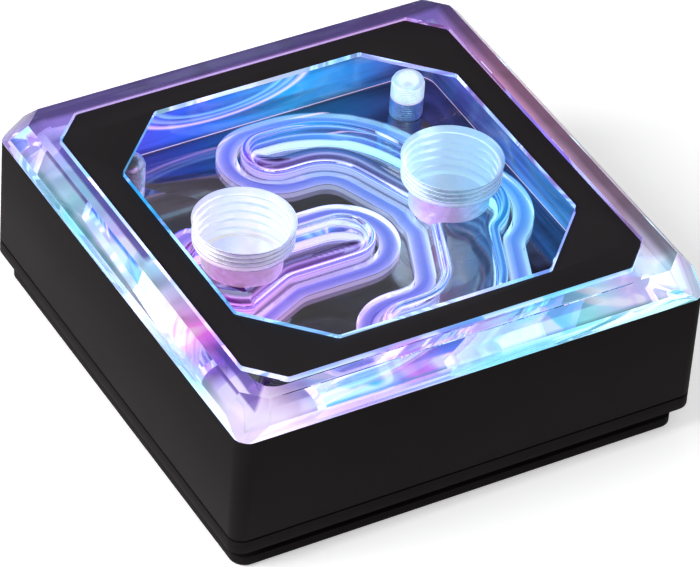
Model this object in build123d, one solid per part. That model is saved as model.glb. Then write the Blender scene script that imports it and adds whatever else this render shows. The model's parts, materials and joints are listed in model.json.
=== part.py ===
from build123d import *
import math
import os

# Clear-topped water block for a computer processor. All sizes are in millimetres.
# The origin is the centre of the contact face under the cold plate, X runs from the inlet port to the
# outlet port, the front is -Y and Z points up through the ports.

# Outer frame
frame_width = 66.0
frame_corner_radius = 2.0
housing_height = 15.75
housing_wall = 1.8
seam_height = 0.3
seam_depth = 0.5
ring_height = 1.8
bracket_groove_height = 2.3
bracket_groove_depth = 3.0
base_thickness = 1.3
base_inset = 1.4
contact_step = 0.4

# Clear top block
flange_overhang = 6.0
body_corner_radius = 3.0
flange_wall_height = 2.05
bevel_width = 2.1
bevel_height = 2.3
facet_leg = 2.6

# Trim plate let into the top block
trim_border = 4.75
trim_corner_leg = 4.1
trim_band = 3.8
window_corner_leg = 9.4
trim_corner_radius = 0.8
trim_thickness = 1.0
trim_recess = 0.35
tape_thickness = 0.12
tape_margin = 0.6

# Ports: G1/4 pipe thread at its tapping size
port_edge_wall = 0.9
port_bore_radius = 5.9
port_mouth_radius = 6.65
port_depth = 6.8
throat_radius = 5.2

# Channels milled into the underside of the top block, and their seals
channel_edge_wall = 1.0
channel_gap = 3.8
channel_end_gap = 1.6
channel_depth = 5.5
channel_roof_radius = 2.0
outlet_bend_offset = 12.7
outlet_bend_radius = 10.0
outlet_arm_tilt = 22.0
pocket_margin = 3.7
pocket_flare_start = 5.0
pocket_flare_end = 3.0
seal_land = 0.5
seal_width = 2.7
seal_depth = 1.6

# Cold plate, flow plate and jet plate
collar_wall = 3.4
cold_flange_thickness = 2.5
cold_pad_margin = 4.0
cold_pad_leg = 9.0
fin_field_margin = 1.6
fin_length = 26.0
fin_height = 1.8
fin_thickness = 0.4
fin_pitch = 0.8
flow_plate_thickness = 3.4
chamber_side_wall = 0.4
chamber_end_margin = 0.6
chamber_corner_radius = 2.0
jet_plate_thickness = 0.6
jet_plate_margin = 0.4
jet_plate_length = 27.0
jet_slot_width = 1.6
spreader_width = 3.0
spreader_depth = 0.5
transfer_slot_length = 7.0
transfer_slot_width = 3.6
cold_seal_land = 0.6
cold_seal_width = 1.6
cold_seal_depth = 1.2

# Screws
main_screw_inset = 4.5
main_screw_radius = 2.0
main_screw_grip = 5.5
main_hole_depth = 13.0
main_head_radius = 3.4
main_hex_across = 2.5
main_hex_depth = 0.9
base_screw_radius = 0.95
base_screw_length = 3.2
base_head_radius = 1.8
base_head_height = 0.9
base_screw_pitch = 24.0
frame_screw_inset = 3.0
frame_screw_radius = 1.2
frame_screw_length = 7.0
frame_head_radius = 2.2
frame_head_height = 1.0
board_screw_inset = 3.8
board_screw_radius = 0.75
board_screw_length = 4.0
board_head_radius = 1.4
board_head_height = 0.8

# Lamp ring under the flange
board_thickness = 1.0
board_depth = 3.55
led_width = 2.8
led_height = 1.4
led_lens_radius = 1.1
led_lens_height = 0.25
led_pitch = 18.0
capacitor_offset = 3.6
capacitor_length = 1.2
capacitor_width = 0.7
capacitor_height = 0.6
socket_x = 9.0
socket_width = 4.2
socket_length = 2.4
socket_height = 1.5
socket_wall = 0.35
socket_mouth_depth = 1.4
grommet_width = 4.6
grommet_height = 2.2
cable_radius = 0.7

# Fits
plate_clearance = 0.2
body_clearance = 0.3
screw_clearance = 0.1
seal_clearance = 0.1
head_clearance = 0.3

# Heights, from the contact face up
base_bottom = contact_step
base_top = base_bottom + base_thickness
ring_bottom = base_top + bracket_groove_height
ring_top = ring_bottom + ring_height
rim_z = ring_top + seam_height + housing_height
top_z = rim_z + flange_wall_height + bevel_height
cold_top = base_top + cold_flange_thickness
fin_top = cold_top + fin_height
jet_top = fin_top + jet_plate_thickness
flow_top = cold_top + flow_plate_thickness
channel_roof = flow_top + channel_depth
port_floor = top_z - port_depth
trim_top = top_z - trim_recess
trim_bottom = trim_top - trim_thickness
recess_floor = trim_bottom - tape_thickness
board_bottom = rim_z - board_depth
board_top = board_bottom + board_thickness
led_top = board_top + led_height

# Widths that follow from the sizes above
body_width = frame_width - 2 * flange_overhang
trim_width = frame_width - 2 * trim_border
window_width = trim_width - 2 * trim_band
housing_bore = body_width + 2 * body_clearance
lamp_bay_width = frame_width - 2 * housing_wall
base_width = frame_width - 2 * base_inset
collar_width = base_width - 2 * bracket_groove_depth
collar_bore = collar_width - 2 * collar_wall
cold_flange_width = collar_bore - 2 * plate_clearance
cold_pad_width = cold_flange_width - 2 * cold_pad_margin
main_screw_spacing = cold_flange_width - 2 * main_screw_inset
frame_screw_spacing = frame_width - 2 * frame_screw_inset
board_screw_spacing = frame_width - 2 * board_screw_inset

# Channels: three seals, a gap and an edge wall share half of the body, and the rest follows
channel_seal_outer = (body_width / 2 - channel_gap - channel_edge_wall) / 3
channel_seal_inner = channel_seal_outer - seal_width
channel_half_width = channel_seal_inner - seal_land
port_x = body_width / 2 - channel_seal_outer - pocket_margin - port_edge_wall
arm_tilt = math.radians(outlet_arm_tilt)
outlet_arm_y = 2 * channel_seal_outer + channel_gap
outlet_bend_x = port_x - outlet_bend_offset
outlet_bend_y = outlet_arm_y - outlet_bend_radius
arm_start_x = outlet_bend_x + outlet_bend_radius * math.cos(arm_tilt)
arm_start_y = outlet_bend_y + outlet_bend_radius * math.sin(arm_tilt)
arm_end_x = arm_start_x + arm_start_y * math.tan(arm_tilt)
channel_end_x = arm_end_x - channel_seal_outer * (1 + 1 / math.cos(arm_tilt)) - channel_end_gap

# Chamber over the fins: between the main screws, and long enough for the slots of the outlet arms
chamber_side = cold_seal_land + cold_seal_width + chamber_side_wall + main_screw_radius + head_clearance
chamber_width = main_screw_spacing - 2 * chamber_side
chamber_length = 2 * outlet_arm_y + transfer_slot_width + 2 * chamber_end_margin
fin_field_width = chamber_width - 2 * fin_field_margin


def octagon(width, leg, grow=0.0):
    """Square with its corners cut by equal legs, grown outward by an even margin."""
    half = width / 2 + grow
    leg = leg + grow * (2 - math.sqrt(2))
    flat = half - leg
    corners = [(half, -flat), (half, flat), (flat, half), (-flat, half),
               (-half, flat), (-half, -flat), (-flat, -half), (flat, -half)]
    return make_face(Polyline(*corners, close=True))


def soft_octagon(width, leg, grow=0.0):
    """Octagon with slightly rounded corners, for the trim plate and what it fits in."""
    outline = octagon(width, leg, grow)
    return fillet(outline.vertices(), trim_corner_radius)


def prism(outline, bottom, top):
    """Upright solid over a plan outline, between two heights."""
    return Pos(0, 0, bottom) * extrude(outline, top - bottom)


def rounded_block(width, radius, bottom, top):
    """Upright square block with rounded corners."""
    return prism(RectangleRounded(width, width, radius), bottom, top)


def upright_cylinder(x, y, radius, bottom, top):
    """Upright cylinder between two heights."""
    return prism(Pos(x, y) * Circle(radius), bottom, top)


def corner_points(spacing):
    """Plan positions of four fasteners on a square."""
    half = spacing / 2
    return [(half, half), (-half, half), (-half, -half), (half, -half)]


def base_screw_points():
    """Plan positions of the base screws, two on each side of the collar."""
    half = (collar_width + collar_bore) / 4
    along = base_screw_pitch / 2
    points = []
    for side in (-1, 1):
        for step in (-along, along):
            points.append((side * half, step))
            points.append((step, side * half))
    return points


def lamp_points(offset=0.0):
    """Plan positions and turns of the lamps, three on each side of the ring board."""
    radius = (lamp_bay_width + housing_bore) / 4
    return [Rot(0, 0, 90 * side) * Pos(step * led_pitch + offset, radius)
            for side in range(4) for step in (-1, 0, 1)]


def strip(start, end, half_width):
    """Straight run of a channel between two plan points."""
    middle = ((start[0] + end[0]) / 2, (start[1] + end[1]) / 2)
    turn = math.degrees(math.atan2(end[1] - start[1], end[0] - start[0]))
    return Pos(*middle) * Rot(0, 0, turn) * Rectangle(math.dist(start, end), 2 * half_width)


def bend(center, radius, start_angle, end_angle, half_width):
    """Curved run of a channel around a plan point."""
    reach = 2 * (radius + half_width)
    rays = [(reach * math.cos(math.radians(a)), reach * math.sin(math.radians(a)))
            for a in (start_angle, end_angle)]
    ring = Circle(radius + half_width) - Circle(radius - half_width)
    return Pos(*center) * (ring & make_face(Polyline((0, 0), *rays, close=True)))


def port_pocket(x, half_width, flare_start=0.0):
    """Wider round pocket of a channel on the outer side of its port, flared out from the channel's sides."""
    radius = half_width + pocket_margin
    side = math.copysign(1, x)
    flare = [(-flare_start, half_width), (pocket_flare_end, radius), (radius, radius)]
    corners = flare + [(u, -v) for u, v in reversed(flare)]
    flared = make_face(Polyline(*[(side * u, v) for u, v in corners], close=True))
    return Pos(x, 0) * (Circle(radius) & flared)


def inlet_plan(half_width):
    """Plan of the inlet channel: from the inlet port straight to the middle."""
    run = strip((-port_x, 0), (channel_end_x, 0), half_width)
    ends = Pos(-port_x, 0) * Circle(half_width) + Pos(channel_end_x, 0) * Circle(half_width)
    return run + ends + port_pocket(-port_x, half_width, pocket_flare_start)


def outlet_plan(half_width):
    """Plan of the outlet channel: from both ends of the fins, around two bends, to the outlet port."""
    arm = Pos(channel_end_x, outlet_arm_y) * Circle(half_width)
    arm += strip((channel_end_x, outlet_arm_y), (outlet_bend_x, outlet_arm_y), half_width)
    arm += bend((outlet_bend_x, outlet_bend_y), outlet_bend_radius, outlet_arm_tilt, 90, half_width)
    arm += strip((arm_start_x, arm_start_y), (arm_end_x, 0), half_width)
    port_end = Pos(port_x, 0) * Circle(half_width)
    return arm + mirror(arm, Plane.XZ) + port_end + port_pocket(port_x, half_width)


def channel_cut(plan):
    """Channel space with a rounded roof."""
    space = prism(plan(channel_half_width), flow_top, channel_roof)
    return fillet(space.faces().sort_by(Axis.Z)[-1].edges(), channel_roof_radius)


def channel_seal_ring(plan, clearance, height):
    """Band that follows a channel at the underside of the top block."""
    band = plan(channel_seal_outer - clearance) - plan(channel_seal_inner + clearance)
    return prism(band, flow_top, flow_top + height)


def port_cut(x):
    """Port bore with its countersunk mouth and the throat down to the channel."""
    mouth = port_mouth_radius - port_bore_radius
    bore = upright_cylinder(x, 0, port_bore_radius, port_floor, top_z)
    sink = Pos(x, 0, top_z - mouth / 2) * Cone(port_bore_radius, port_mouth_radius, mouth)
    throat = upright_cylinder(x, 0, throat_radius, channel_roof - channel_roof_radius, port_floor)
    return bore + sink + throat


def flange():
    """Bevelled flange whose corner facets run down to the rounded corners of the frame."""
    slope = bevel_width / bevel_height
    low_half = frame_width / 2 + flange_wall_height * slope
    facet_reach = frame_width - frame_corner_radius * (2 - math.sqrt(2))
    low = Pos(0, 0, rim_z) * octagon(2 * low_half, 2 * low_half - facet_reach)
    high = Pos(0, 0, top_z) * octagon(frame_width - 2 * bevel_width, facet_leg)
    return loft([low, high], ruled=True) & rounded_block(frame_width, frame_corner_radius, rim_z, top_z)


def top_block():
    """Clear block: flange, body, ports, channels, seal grooves, trim recess and blind screw holes."""
    block = flange() + rounded_block(body_width, body_corner_radius, flow_top, rim_z)
    recess = soft_octagon(trim_width, trim_corner_leg, plate_clearance)
    recess -= soft_octagon(window_width, window_corner_leg, -plate_clearance)
    block -= prism(recess, recess_floor, top_z)
    for x, plan in ((-port_x, inlet_plan), (port_x, outlet_plan)):
        block -= channel_cut(plan)
        block -= channel_seal_ring(plan, 0, seal_depth)
        block -= port_cut(x)
    for x, y in corner_points(main_screw_spacing):
        hole_radius = main_screw_radius + screw_clearance / 2
        block -= upright_cylinder(x, y, hole_radius, flow_top, flow_top + main_hole_depth)
    return block


def trim_plate():
    """Black octagonal plate with the octagonal window."""
    outline = soft_octagon(trim_width, trim_corner_leg) - soft_octagon(window_width, window_corner_leg)
    return prism(outline, trim_bottom, trim_top)


def trim_tape():
    """Adhesive film that holds the trim plate down."""
    outline = soft_octagon(trim_width, trim_corner_leg, -tape_margin)
    outline -= soft_octagon(window_width, window_corner_leg, tape_margin)
    return prism(outline, recess_floor, trim_bottom)


def grommet_seat(margin):
    """Block in the back wall of the housing: the hole for the cable grommet, or its outside."""
    middle = board_top + grommet_height / 2
    wall_middle = (frame_width - housing_wall) / 2
    size = (grommet_width + 2 * margin, housing_wall, grommet_height + 2 * margin)
    return Pos(socket_x, wall_middle, middle) * Box(*size)


def sunk_screw(x, y, screw, face, grow=0.0):
    """Countersunk screw whose head is flush with a face below, or the hole that takes it."""
    radius, length, head_radius, head_height = screw
    shank = upright_cylinder(x, y, radius + grow, face, face + length)
    head = Cone(head_radius + grow, radius + grow, head_height)
    return shank + Pos(x, y, face + head_height / 2) * head


def base_screw():
    """Sizes of one base screw: shank radius, length, head radius and head height."""
    return base_screw_radius, base_screw_length, base_head_radius, base_head_height


def frame_screw():
    """Sizes of one frame screw: shank radius, length, head radius and head height."""
    return frame_screw_radius, frame_screw_length, frame_head_radius, frame_head_height


def housing():
    """Tall frame with the lamp bay under its rim and a fine seam at its foot."""
    foot_width = frame_width - 2 * seam_depth
    frame = rounded_block(frame_width, frame_corner_radius, ring_top + seam_height, rim_z)
    frame += rounded_block(foot_width, frame_corner_radius, ring_top, ring_top + seam_height)
    frame -= rounded_block(housing_bore, body_corner_radius + body_clearance, ring_top, rim_z)
    frame -= rounded_block(lamp_bay_width, frame_corner_radius, board_bottom, rim_z)
    frame -= grommet_seat(0)
    for x, y in corner_points(frame_screw_spacing):
        hole_radius = frame_screw_radius + screw_clearance / 2
        frame -= upright_cylinder(x, y, hole_radius, ring_top, ring_bottom + frame_screw_length)
    for x, y in corner_points(board_screw_spacing):
        hole_radius = board_screw_radius + screw_clearance / 2
        frame -= upright_cylinder(x, y, hole_radius, board_top - board_screw_length, board_bottom)
    return frame


def lower_ring():
    """Thin frame under the housing, with the collar that forms the back of the bracket groove."""
    ring = rounded_block(frame_width, frame_corner_radius, ring_bottom, ring_top)
    ring += rounded_block(collar_width, frame_corner_radius, base_top, ring_bottom)
    ring -= rounded_block(collar_bore, frame_corner_radius, base_top, ring_top)
    ring -= rounded_block(body_width + 2 * plate_clearance, body_corner_radius, cold_top, ring_top)
    for x, y in corner_points(frame_screw_spacing):
        ring -= sunk_screw(x, y, frame_screw(), ring_bottom, screw_clearance / 2)
    for x, y in base_screw_points():
        hole_radius = base_screw_radius + screw_clearance / 2
        ring -= upright_cylinder(x, y, hole_radius, base_top, base_bottom + base_screw_length)
    return ring


def base_plate():
    """Thin plate under the bracket groove, open around the contact pad and the main screw heads."""
    plate = rounded_block(base_width, frame_corner_radius, base_bottom, base_top)
    plate -= prism(octagon(cold_pad_width, cold_pad_leg, plate_clearance), base_bottom, base_top)
    for x, y in corner_points(main_screw_spacing):
        plate -= upright_cylinder(x, y, main_head_radius + head_clearance, base_bottom, base_top)
    for x, y in base_screw_points():
        plate -= sunk_screw(x, y, base_screw(), base_bottom, screw_clearance / 2)
    return plate


def cold_plate():
    """Plated copper plate: contact pad, flange and the field of fins, all one piece."""
    plate = prism(octagon(cold_pad_width, cold_pad_leg), 0, base_top)
    plate += rounded_block(cold_flange_width, frame_corner_radius, base_top, cold_top)
    for x, y in corner_points(main_screw_spacing):
        plate -= upright_cylinder(x, y, main_screw_radius + head_clearance, base_top, cold_top)
    fin_count = int((fin_field_width - fin_thickness) / fin_pitch) + 1
    for x_place in GridLocations(fin_pitch, 0, fin_count, 1):
        fin = Box(fin_thickness, fin_length, fin_height)
        plate += Pos(0, 0, cold_top + fin_height / 2) * x_place * fin
    return plate


def chamber_outline(grow=0.0):
    """Plan of the chamber over the fins, grown outward by an even margin."""
    width = chamber_width + 2 * grow
    length = chamber_length + 2 * grow
    return RectangleRounded(width, length, chamber_corner_radius + grow)


def cold_seal_ring(clearance, height):
    """Ring around the chamber, between cold plate and flow plate."""
    band = chamber_outline(cold_seal_land + cold_seal_width - clearance)
    band -= chamber_outline(cold_seal_land + clearance)
    return prism(band, cold_top, cold_top + height)


def flow_plate():
    """Mirror-finished plate that closes the channels and forms the chamber over the fins."""
    plate = rounded_block(body_width, body_corner_radius, cold_top, flow_top)
    plate -= prism(chamber_outline(), cold_top, jet_top)
    plate -= prism(Rectangle(fin_field_width, spreader_width), jet_top, jet_top + spreader_depth)
    for y in (-outlet_arm_y, 0, outlet_arm_y):
        slot = Pos(channel_end_x, y) * SlotOverall(transfer_slot_length, transfer_slot_width)
        plate -= prism(slot, jet_top, flow_top)
    plate -= cold_seal_ring(0, cold_seal_depth)
    for x, y in corner_points(main_screw_spacing):
        plate -= upright_cylinder(x, y, main_screw_radius + head_clearance, cold_top, flow_top)
    return plate


def jet_plate():
    """Thin plate on the fins with the slot that feeds them along their middle."""
    outline = Rectangle(chamber_width - 2 * jet_plate_margin, jet_plate_length)
    outline -= Rectangle(fin_field_width, jet_slot_width)
    return prism(outline, fin_top, jet_top)


def base_screws():
    """Eight countersunk screws through the base plate into the collar."""
    return Compound(children=[sunk_screw(x, y, base_screw(), base_bottom) for x, y in base_screw_points()])


def frame_screws():
    """Four countersunk screws through the lower ring into the housing."""
    places = corner_points(frame_screw_spacing)
    return Compound(children=[sunk_screw(x, y, frame_screw(), ring_bottom) for x, y in places])


def main_screw(x, y):
    """Socket head screw from below: its head bears on the cold plate, its end is in the clear block."""
    head = upright_cylinder(x, y, main_head_radius, base_bottom, base_top)
    shank = upright_cylinder(x, y, main_screw_radius, base_top, flow_top + main_screw_grip)
    socket = RegularPolygon(main_hex_across / 2, 6, major_radius=False)
    return head + shank - prism(Pos(x, y) * socket, base_bottom, base_bottom + main_hex_depth)


def main_screws():
    """Four screws that clamp cold plate and flow plate to the clear block."""
    return Compound(children=[main_screw(x, y) for x, y in corner_points(main_screw_spacing)])


def led_board():
    """Ring board on the ledge of the lamp bay."""
    outer = lamp_bay_width - 2 * plate_clearance
    inner = housing_bore + 2 * plate_clearance
    board = rounded_block(outer, frame_corner_radius, board_bottom, board_top)
    board -= rounded_block(inner, body_corner_radius + body_clearance, board_bottom, board_top)
    for x, y in corner_points(board_screw_spacing):
        board -= upright_cylinder(x, y, board_screw_radius + screw_clearance, board_bottom, board_top)
    return board


def board_screw(x, y):
    """Pan head screw through the ring board."""
    shank = upright_cylinder(x, y, board_screw_radius, board_top - board_screw_length, board_top)
    return shank + upright_cylinder(x, y, board_head_radius, board_top, board_top + board_head_height)


def board_screws():
    """Four small screws that hold the ring board down."""
    return Compound(children=[board_screw(x, y) for x, y in corner_points(board_screw_spacing)])


def led_packages():
    """White bodies of the lamps."""
    body = prism(Rectangle(led_width, led_width), board_top, led_top)
    return Compound(children=[place * body for place in lamp_points()])


def led_lenses():
    """Round lenses on the lamps."""
    lens = prism(Circle(led_lens_radius), led_top, led_top + led_lens_height)
    return Compound(children=[place * lens for place in lamp_points()])


def led_capacitors():
    """Small chips beside the lamps."""
    chip = prism(Rectangle(capacitor_length, capacitor_width), board_top, board_top + capacitor_height)
    return Compound(children=[place * chip for place in lamp_points(capacitor_offset)])


def cable_socket():
    """Socket on the board for the lamp cable."""
    middle = board_top + socket_height / 2
    board_line = (lamp_bay_width + housing_bore) / 4
    shell = Pos(socket_x, board_line, middle) * Box(socket_width, socket_length, socket_height)
    mouth = Box(socket_width - 2 * socket_wall, socket_mouth_depth, socket_height - 2 * socket_wall)
    mouth_line = board_line + (socket_length - socket_mouth_depth) / 2
    return shell - Pos(socket_x, mouth_line, middle) * mouth


def cable_grommet():
    """Soft grommet in the back wall, where the lamp cable goes in."""
    body = grommet_seat(-seal_clearance / 2)
    bore = Rot(90, 0, 0) * Cylinder(cable_radius, 2 * housing_wall)
    return body - Pos(*body.center()) * bore


PIECES = {
    "top_block": top_block,
    "trim_plate": trim_plate,
    "trim_tape": trim_tape,
    "housing": housing,
    "lower_ring": lower_ring,
    "base_plate": base_plate,
    "cold_plate": cold_plate,
    "flow_plate": flow_plate,
    "jet_plate": jet_plate,
    "inlet_channel_seal": lambda: channel_seal_ring(inlet_plan, seal_clearance, seal_depth),
    "outlet_channel_seal": lambda: channel_seal_ring(outlet_plan, seal_clearance, seal_depth),
    "cold_plate_seal": lambda: cold_seal_ring(seal_clearance, cold_seal_depth),
    "main_screws": main_screws,
    "base_screws": base_screws,
    "frame_screws": frame_screws,
    "led_board": led_board,
    "board_screws": board_screws,
    "led_packages": led_packages,
    "led_lenses": led_lenses,
    "led_capacitors": led_capacitors,
    "cable_socket": cable_socket,
    "cable_grommet": cable_grommet,
}

os.makedirs("parts", exist_ok=True)
for name, make in PIECES.items():
    export_step(make(), f"parts/{name}.step")
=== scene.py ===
"""Dresses the clear-topped water block: clear block, seals, frame, screws, lamps and stage."""

import json
import math

import bmesh
import bpy
from bpy.props import FloatProperty, FloatVectorProperty, PointerProperty
from mathutils import Matrix, Vector


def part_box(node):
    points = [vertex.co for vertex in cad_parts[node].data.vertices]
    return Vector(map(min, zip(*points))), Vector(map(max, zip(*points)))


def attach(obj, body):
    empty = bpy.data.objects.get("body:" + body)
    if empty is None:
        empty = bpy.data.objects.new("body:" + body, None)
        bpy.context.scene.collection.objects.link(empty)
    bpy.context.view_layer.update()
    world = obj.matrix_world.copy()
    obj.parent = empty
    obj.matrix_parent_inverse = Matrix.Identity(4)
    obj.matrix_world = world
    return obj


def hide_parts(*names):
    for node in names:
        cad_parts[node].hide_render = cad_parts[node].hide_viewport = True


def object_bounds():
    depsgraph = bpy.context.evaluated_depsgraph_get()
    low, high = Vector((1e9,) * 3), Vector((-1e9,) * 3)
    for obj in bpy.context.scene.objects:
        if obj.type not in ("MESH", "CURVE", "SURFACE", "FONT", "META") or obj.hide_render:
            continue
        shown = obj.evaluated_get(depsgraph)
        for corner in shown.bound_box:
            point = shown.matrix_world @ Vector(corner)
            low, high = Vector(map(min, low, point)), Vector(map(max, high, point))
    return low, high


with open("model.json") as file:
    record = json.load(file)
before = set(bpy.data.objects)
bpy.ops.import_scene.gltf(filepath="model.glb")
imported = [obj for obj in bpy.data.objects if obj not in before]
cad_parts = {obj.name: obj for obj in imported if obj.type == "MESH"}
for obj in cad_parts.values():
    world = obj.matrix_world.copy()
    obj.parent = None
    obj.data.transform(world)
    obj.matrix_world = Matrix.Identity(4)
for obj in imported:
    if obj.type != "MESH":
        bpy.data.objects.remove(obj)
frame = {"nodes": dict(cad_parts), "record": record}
CAD_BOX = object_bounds()

bl_info = {
    "name": "Water block dress",
    "version": (1, 0, 0),
    "blender": (4, 5, 0),
    "location": "View3D > Sidebar > Water block",
    "description": "Builds the visible pieces of a clear-topped water block around its packed frame",
    "category": "Object",
}

MM = 0.001
GAP = 0.04 * MM        # play between pieces that meet
OVERCUT = 0.5 * MM     # how far a cutter reaches past the face that it opens
MERGE = 0.001 * MM     # points closer than this are one
SEAL_POINTS = 600      # points along a seal's outline
SEAL_BLUR = 0.5 * MM   # rounding of the outlines that are read from a seal
ACRYLIC_IOR = 1.49
FAINT_MARKS = [(0.3, (0.97, 0.985, 1.0)), (0.7, (1.0, 1.0, 1.0))]
SEALS = ("inlet_channel_seal", "outlet_channel_seal")
PORTS = ("inlet_port", "outlet_port")
CAMERA_PLACE = (-0.249851, -0.400210, 0.401767)
CAMERA_RIGHT = (0.8713707, -0.4868121, 0.0610493)
CAMERA_DOWN = (-0.2708081, -0.5809879, -0.7675389)
CAMERA_AHEAD = (0.4091161, 0.6522784, -0.6380885)
KEY_PLACE = (-0.8, 0.05, 0.6)
FILL_PLACE = (-0.1, -0.7, 0.9)
LIGHT_AIM = (0.0, 0.0, 0.012)
FLOOR_HALF = 3.0
FLOOR_DEPTH = 0.02


def mount(name):
    """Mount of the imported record, by its name."""
    return next(m for m in frame["record"]["mounts"] if m["name"] == name)


TOP_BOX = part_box("top_block")
TRIM_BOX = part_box("trim_plate")
RIM_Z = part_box("housing")[1][2]
FLOW_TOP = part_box("flow_plate")[1][2]
SEAL_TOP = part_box("outlet_channel_seal")[1][2]
SCREW_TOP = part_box("main_screws")[1][2]


class BlockSizes(bpy.types.PropertyGroup):
    """Sizes of the clear block and of what is cut into it."""
    body_half: FloatProperty(name="Body half width", description="Half the width of the block's body",
                             default=27.0 * MM, unit="LENGTH")
    body_corner: FloatProperty(name="Body corner", description="Corner radius of the body",
                               default=3.0 * MM, unit="LENGTH")
    flange_corner: FloatProperty(name="Flange corner", description="Corner radius of the flange",
                                 default=2.0 * MM, unit="LENGTH")
    wall_height: FloatProperty(name="Flange wall", description="Height of the flange below its bevel",
                               default=2.05 * MM, unit="LENGTH")
    bevel_width: FloatProperty(name="Bevel width", description="Width of the bevel in plan",
                               default=2.1 * MM, unit="LENGTH")
    facet_leg: FloatProperty(name="Facet leg", description="Leg of the corner facets at the top",
                             default=2.6 * MM, unit="LENGTH")
    edge_round: FloatProperty(name="Edge rounding", description="Rounding of the polished edges",
                              default=0.14 * MM, unit="LENGTH")
    trim_leg: FloatProperty(name="Trim corner", description="Corner leg of the trim plate",
                            default=4.1 * MM, unit="LENGTH")
    trim_band: FloatProperty(name="Trim band", description="Width of the trim plate beside its window",
                             default=3.8 * MM, unit="LENGTH")
    window_leg: FloatProperty(name="Window corner", description="Corner leg of the window",
                              default=9.4 * MM, unit="LENGTH")
    trim_round: FloatProperty(name="Trim rounding", description="Rounding of the trim plate's corners",
                              default=0.8 * MM, unit="LENGTH")
    recess_play: FloatProperty(name="Recess play", description="Play around the trim plate",
                               default=0.2 * MM, unit="LENGTH")
    recess_floor: FloatProperty(name="Recess floor", description="Height of the floor under the trim plate",
                                default=24.73 * MM, unit="LENGTH")
    thread_pitch: FloatProperty(name="Thread pitch", description="Pitch of the pipe thread",
                                default=1.337 * MM, unit="LENGTH")
    thread_depth: FloatProperty(name="Thread depth", description="Depth of the pipe thread",
                                default=0.62 * MM, unit="LENGTH")
    mouth_radius: FloatProperty(name="Port mouth", description="Radius of the countersunk mouth",
                                default=6.65 * MM, unit="LENGTH")
    throat_radius: FloatProperty(name="Throat", description="Radius of the throat under a port",
                                 default=5.2 * MM, unit="LENGTH")
    channel_depth: FloatProperty(name="Channel depth", description="Depth of the channels",
                                 default=5.5 * MM, unit="LENGTH")
    channel_roof: FloatProperty(name="Roof radius", description="Rounding of the channel roofs",
                                default=2.0 * MM, unit="LENGTH")
    seal_land: FloatProperty(name="Seal land", description="Wall between channel and seal groove",
                             default=0.5 * MM, unit="LENGTH")
    seal_play: FloatProperty(name="Seal play", description="Play of the seal in its groove",
                             default=0.1 * MM, unit="LENGTH")
    screw_spacing: FloatProperty(name="Screw spacing", description="Spacing of the main screws",
                                 default=41.0 * MM, unit="LENGTH")
    hole_radius: FloatProperty(name="Screw hole", description="Radius of the blind screw holes",
                               default=2.05 * MM, unit="LENGTH")
    hole_depth: FloatProperty(name="Hole depth", description="Depth of the blind screw holes",
                              default=13.0 * MM, unit="LENGTH")


class SmallPartSizes(bpy.types.PropertyGroup):
    """Sizes of the screws and the lamps."""
    main_socket: FloatProperty(name="Main socket", description="Hex socket of the main screws",
                               default=2.5 * MM, unit="LENGTH")
    sunk_socket: FloatProperty(name="Sunk socket", description="Hex socket of the countersunk screws",
                               default=1.5 * MM, unit="LENGTH")
    board_socket: FloatProperty(name="Board socket", description="Hex socket of the board screws",
                                default=1.3 * MM, unit="LENGTH")
    main_pitch: FloatProperty(name="Main pitch", description="Thread pitch of the main screws",
                              default=0.7 * MM, unit="LENGTH")
    small_pitch: FloatProperty(name="Small pitch", description="Thread pitch of the small screws",
                               default=0.4 * MM, unit="LENGTH")
    lamp_cup: FloatProperty(name="Lamp cup", description="Depth of the cup in a lamp", default=0.5 * MM,
                            unit="LENGTH")
    chip_end: FloatProperty(name="Chip end", description="Length of a chip's metal ends", default=0.28 * MM,
                            unit="LENGTH")


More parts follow.
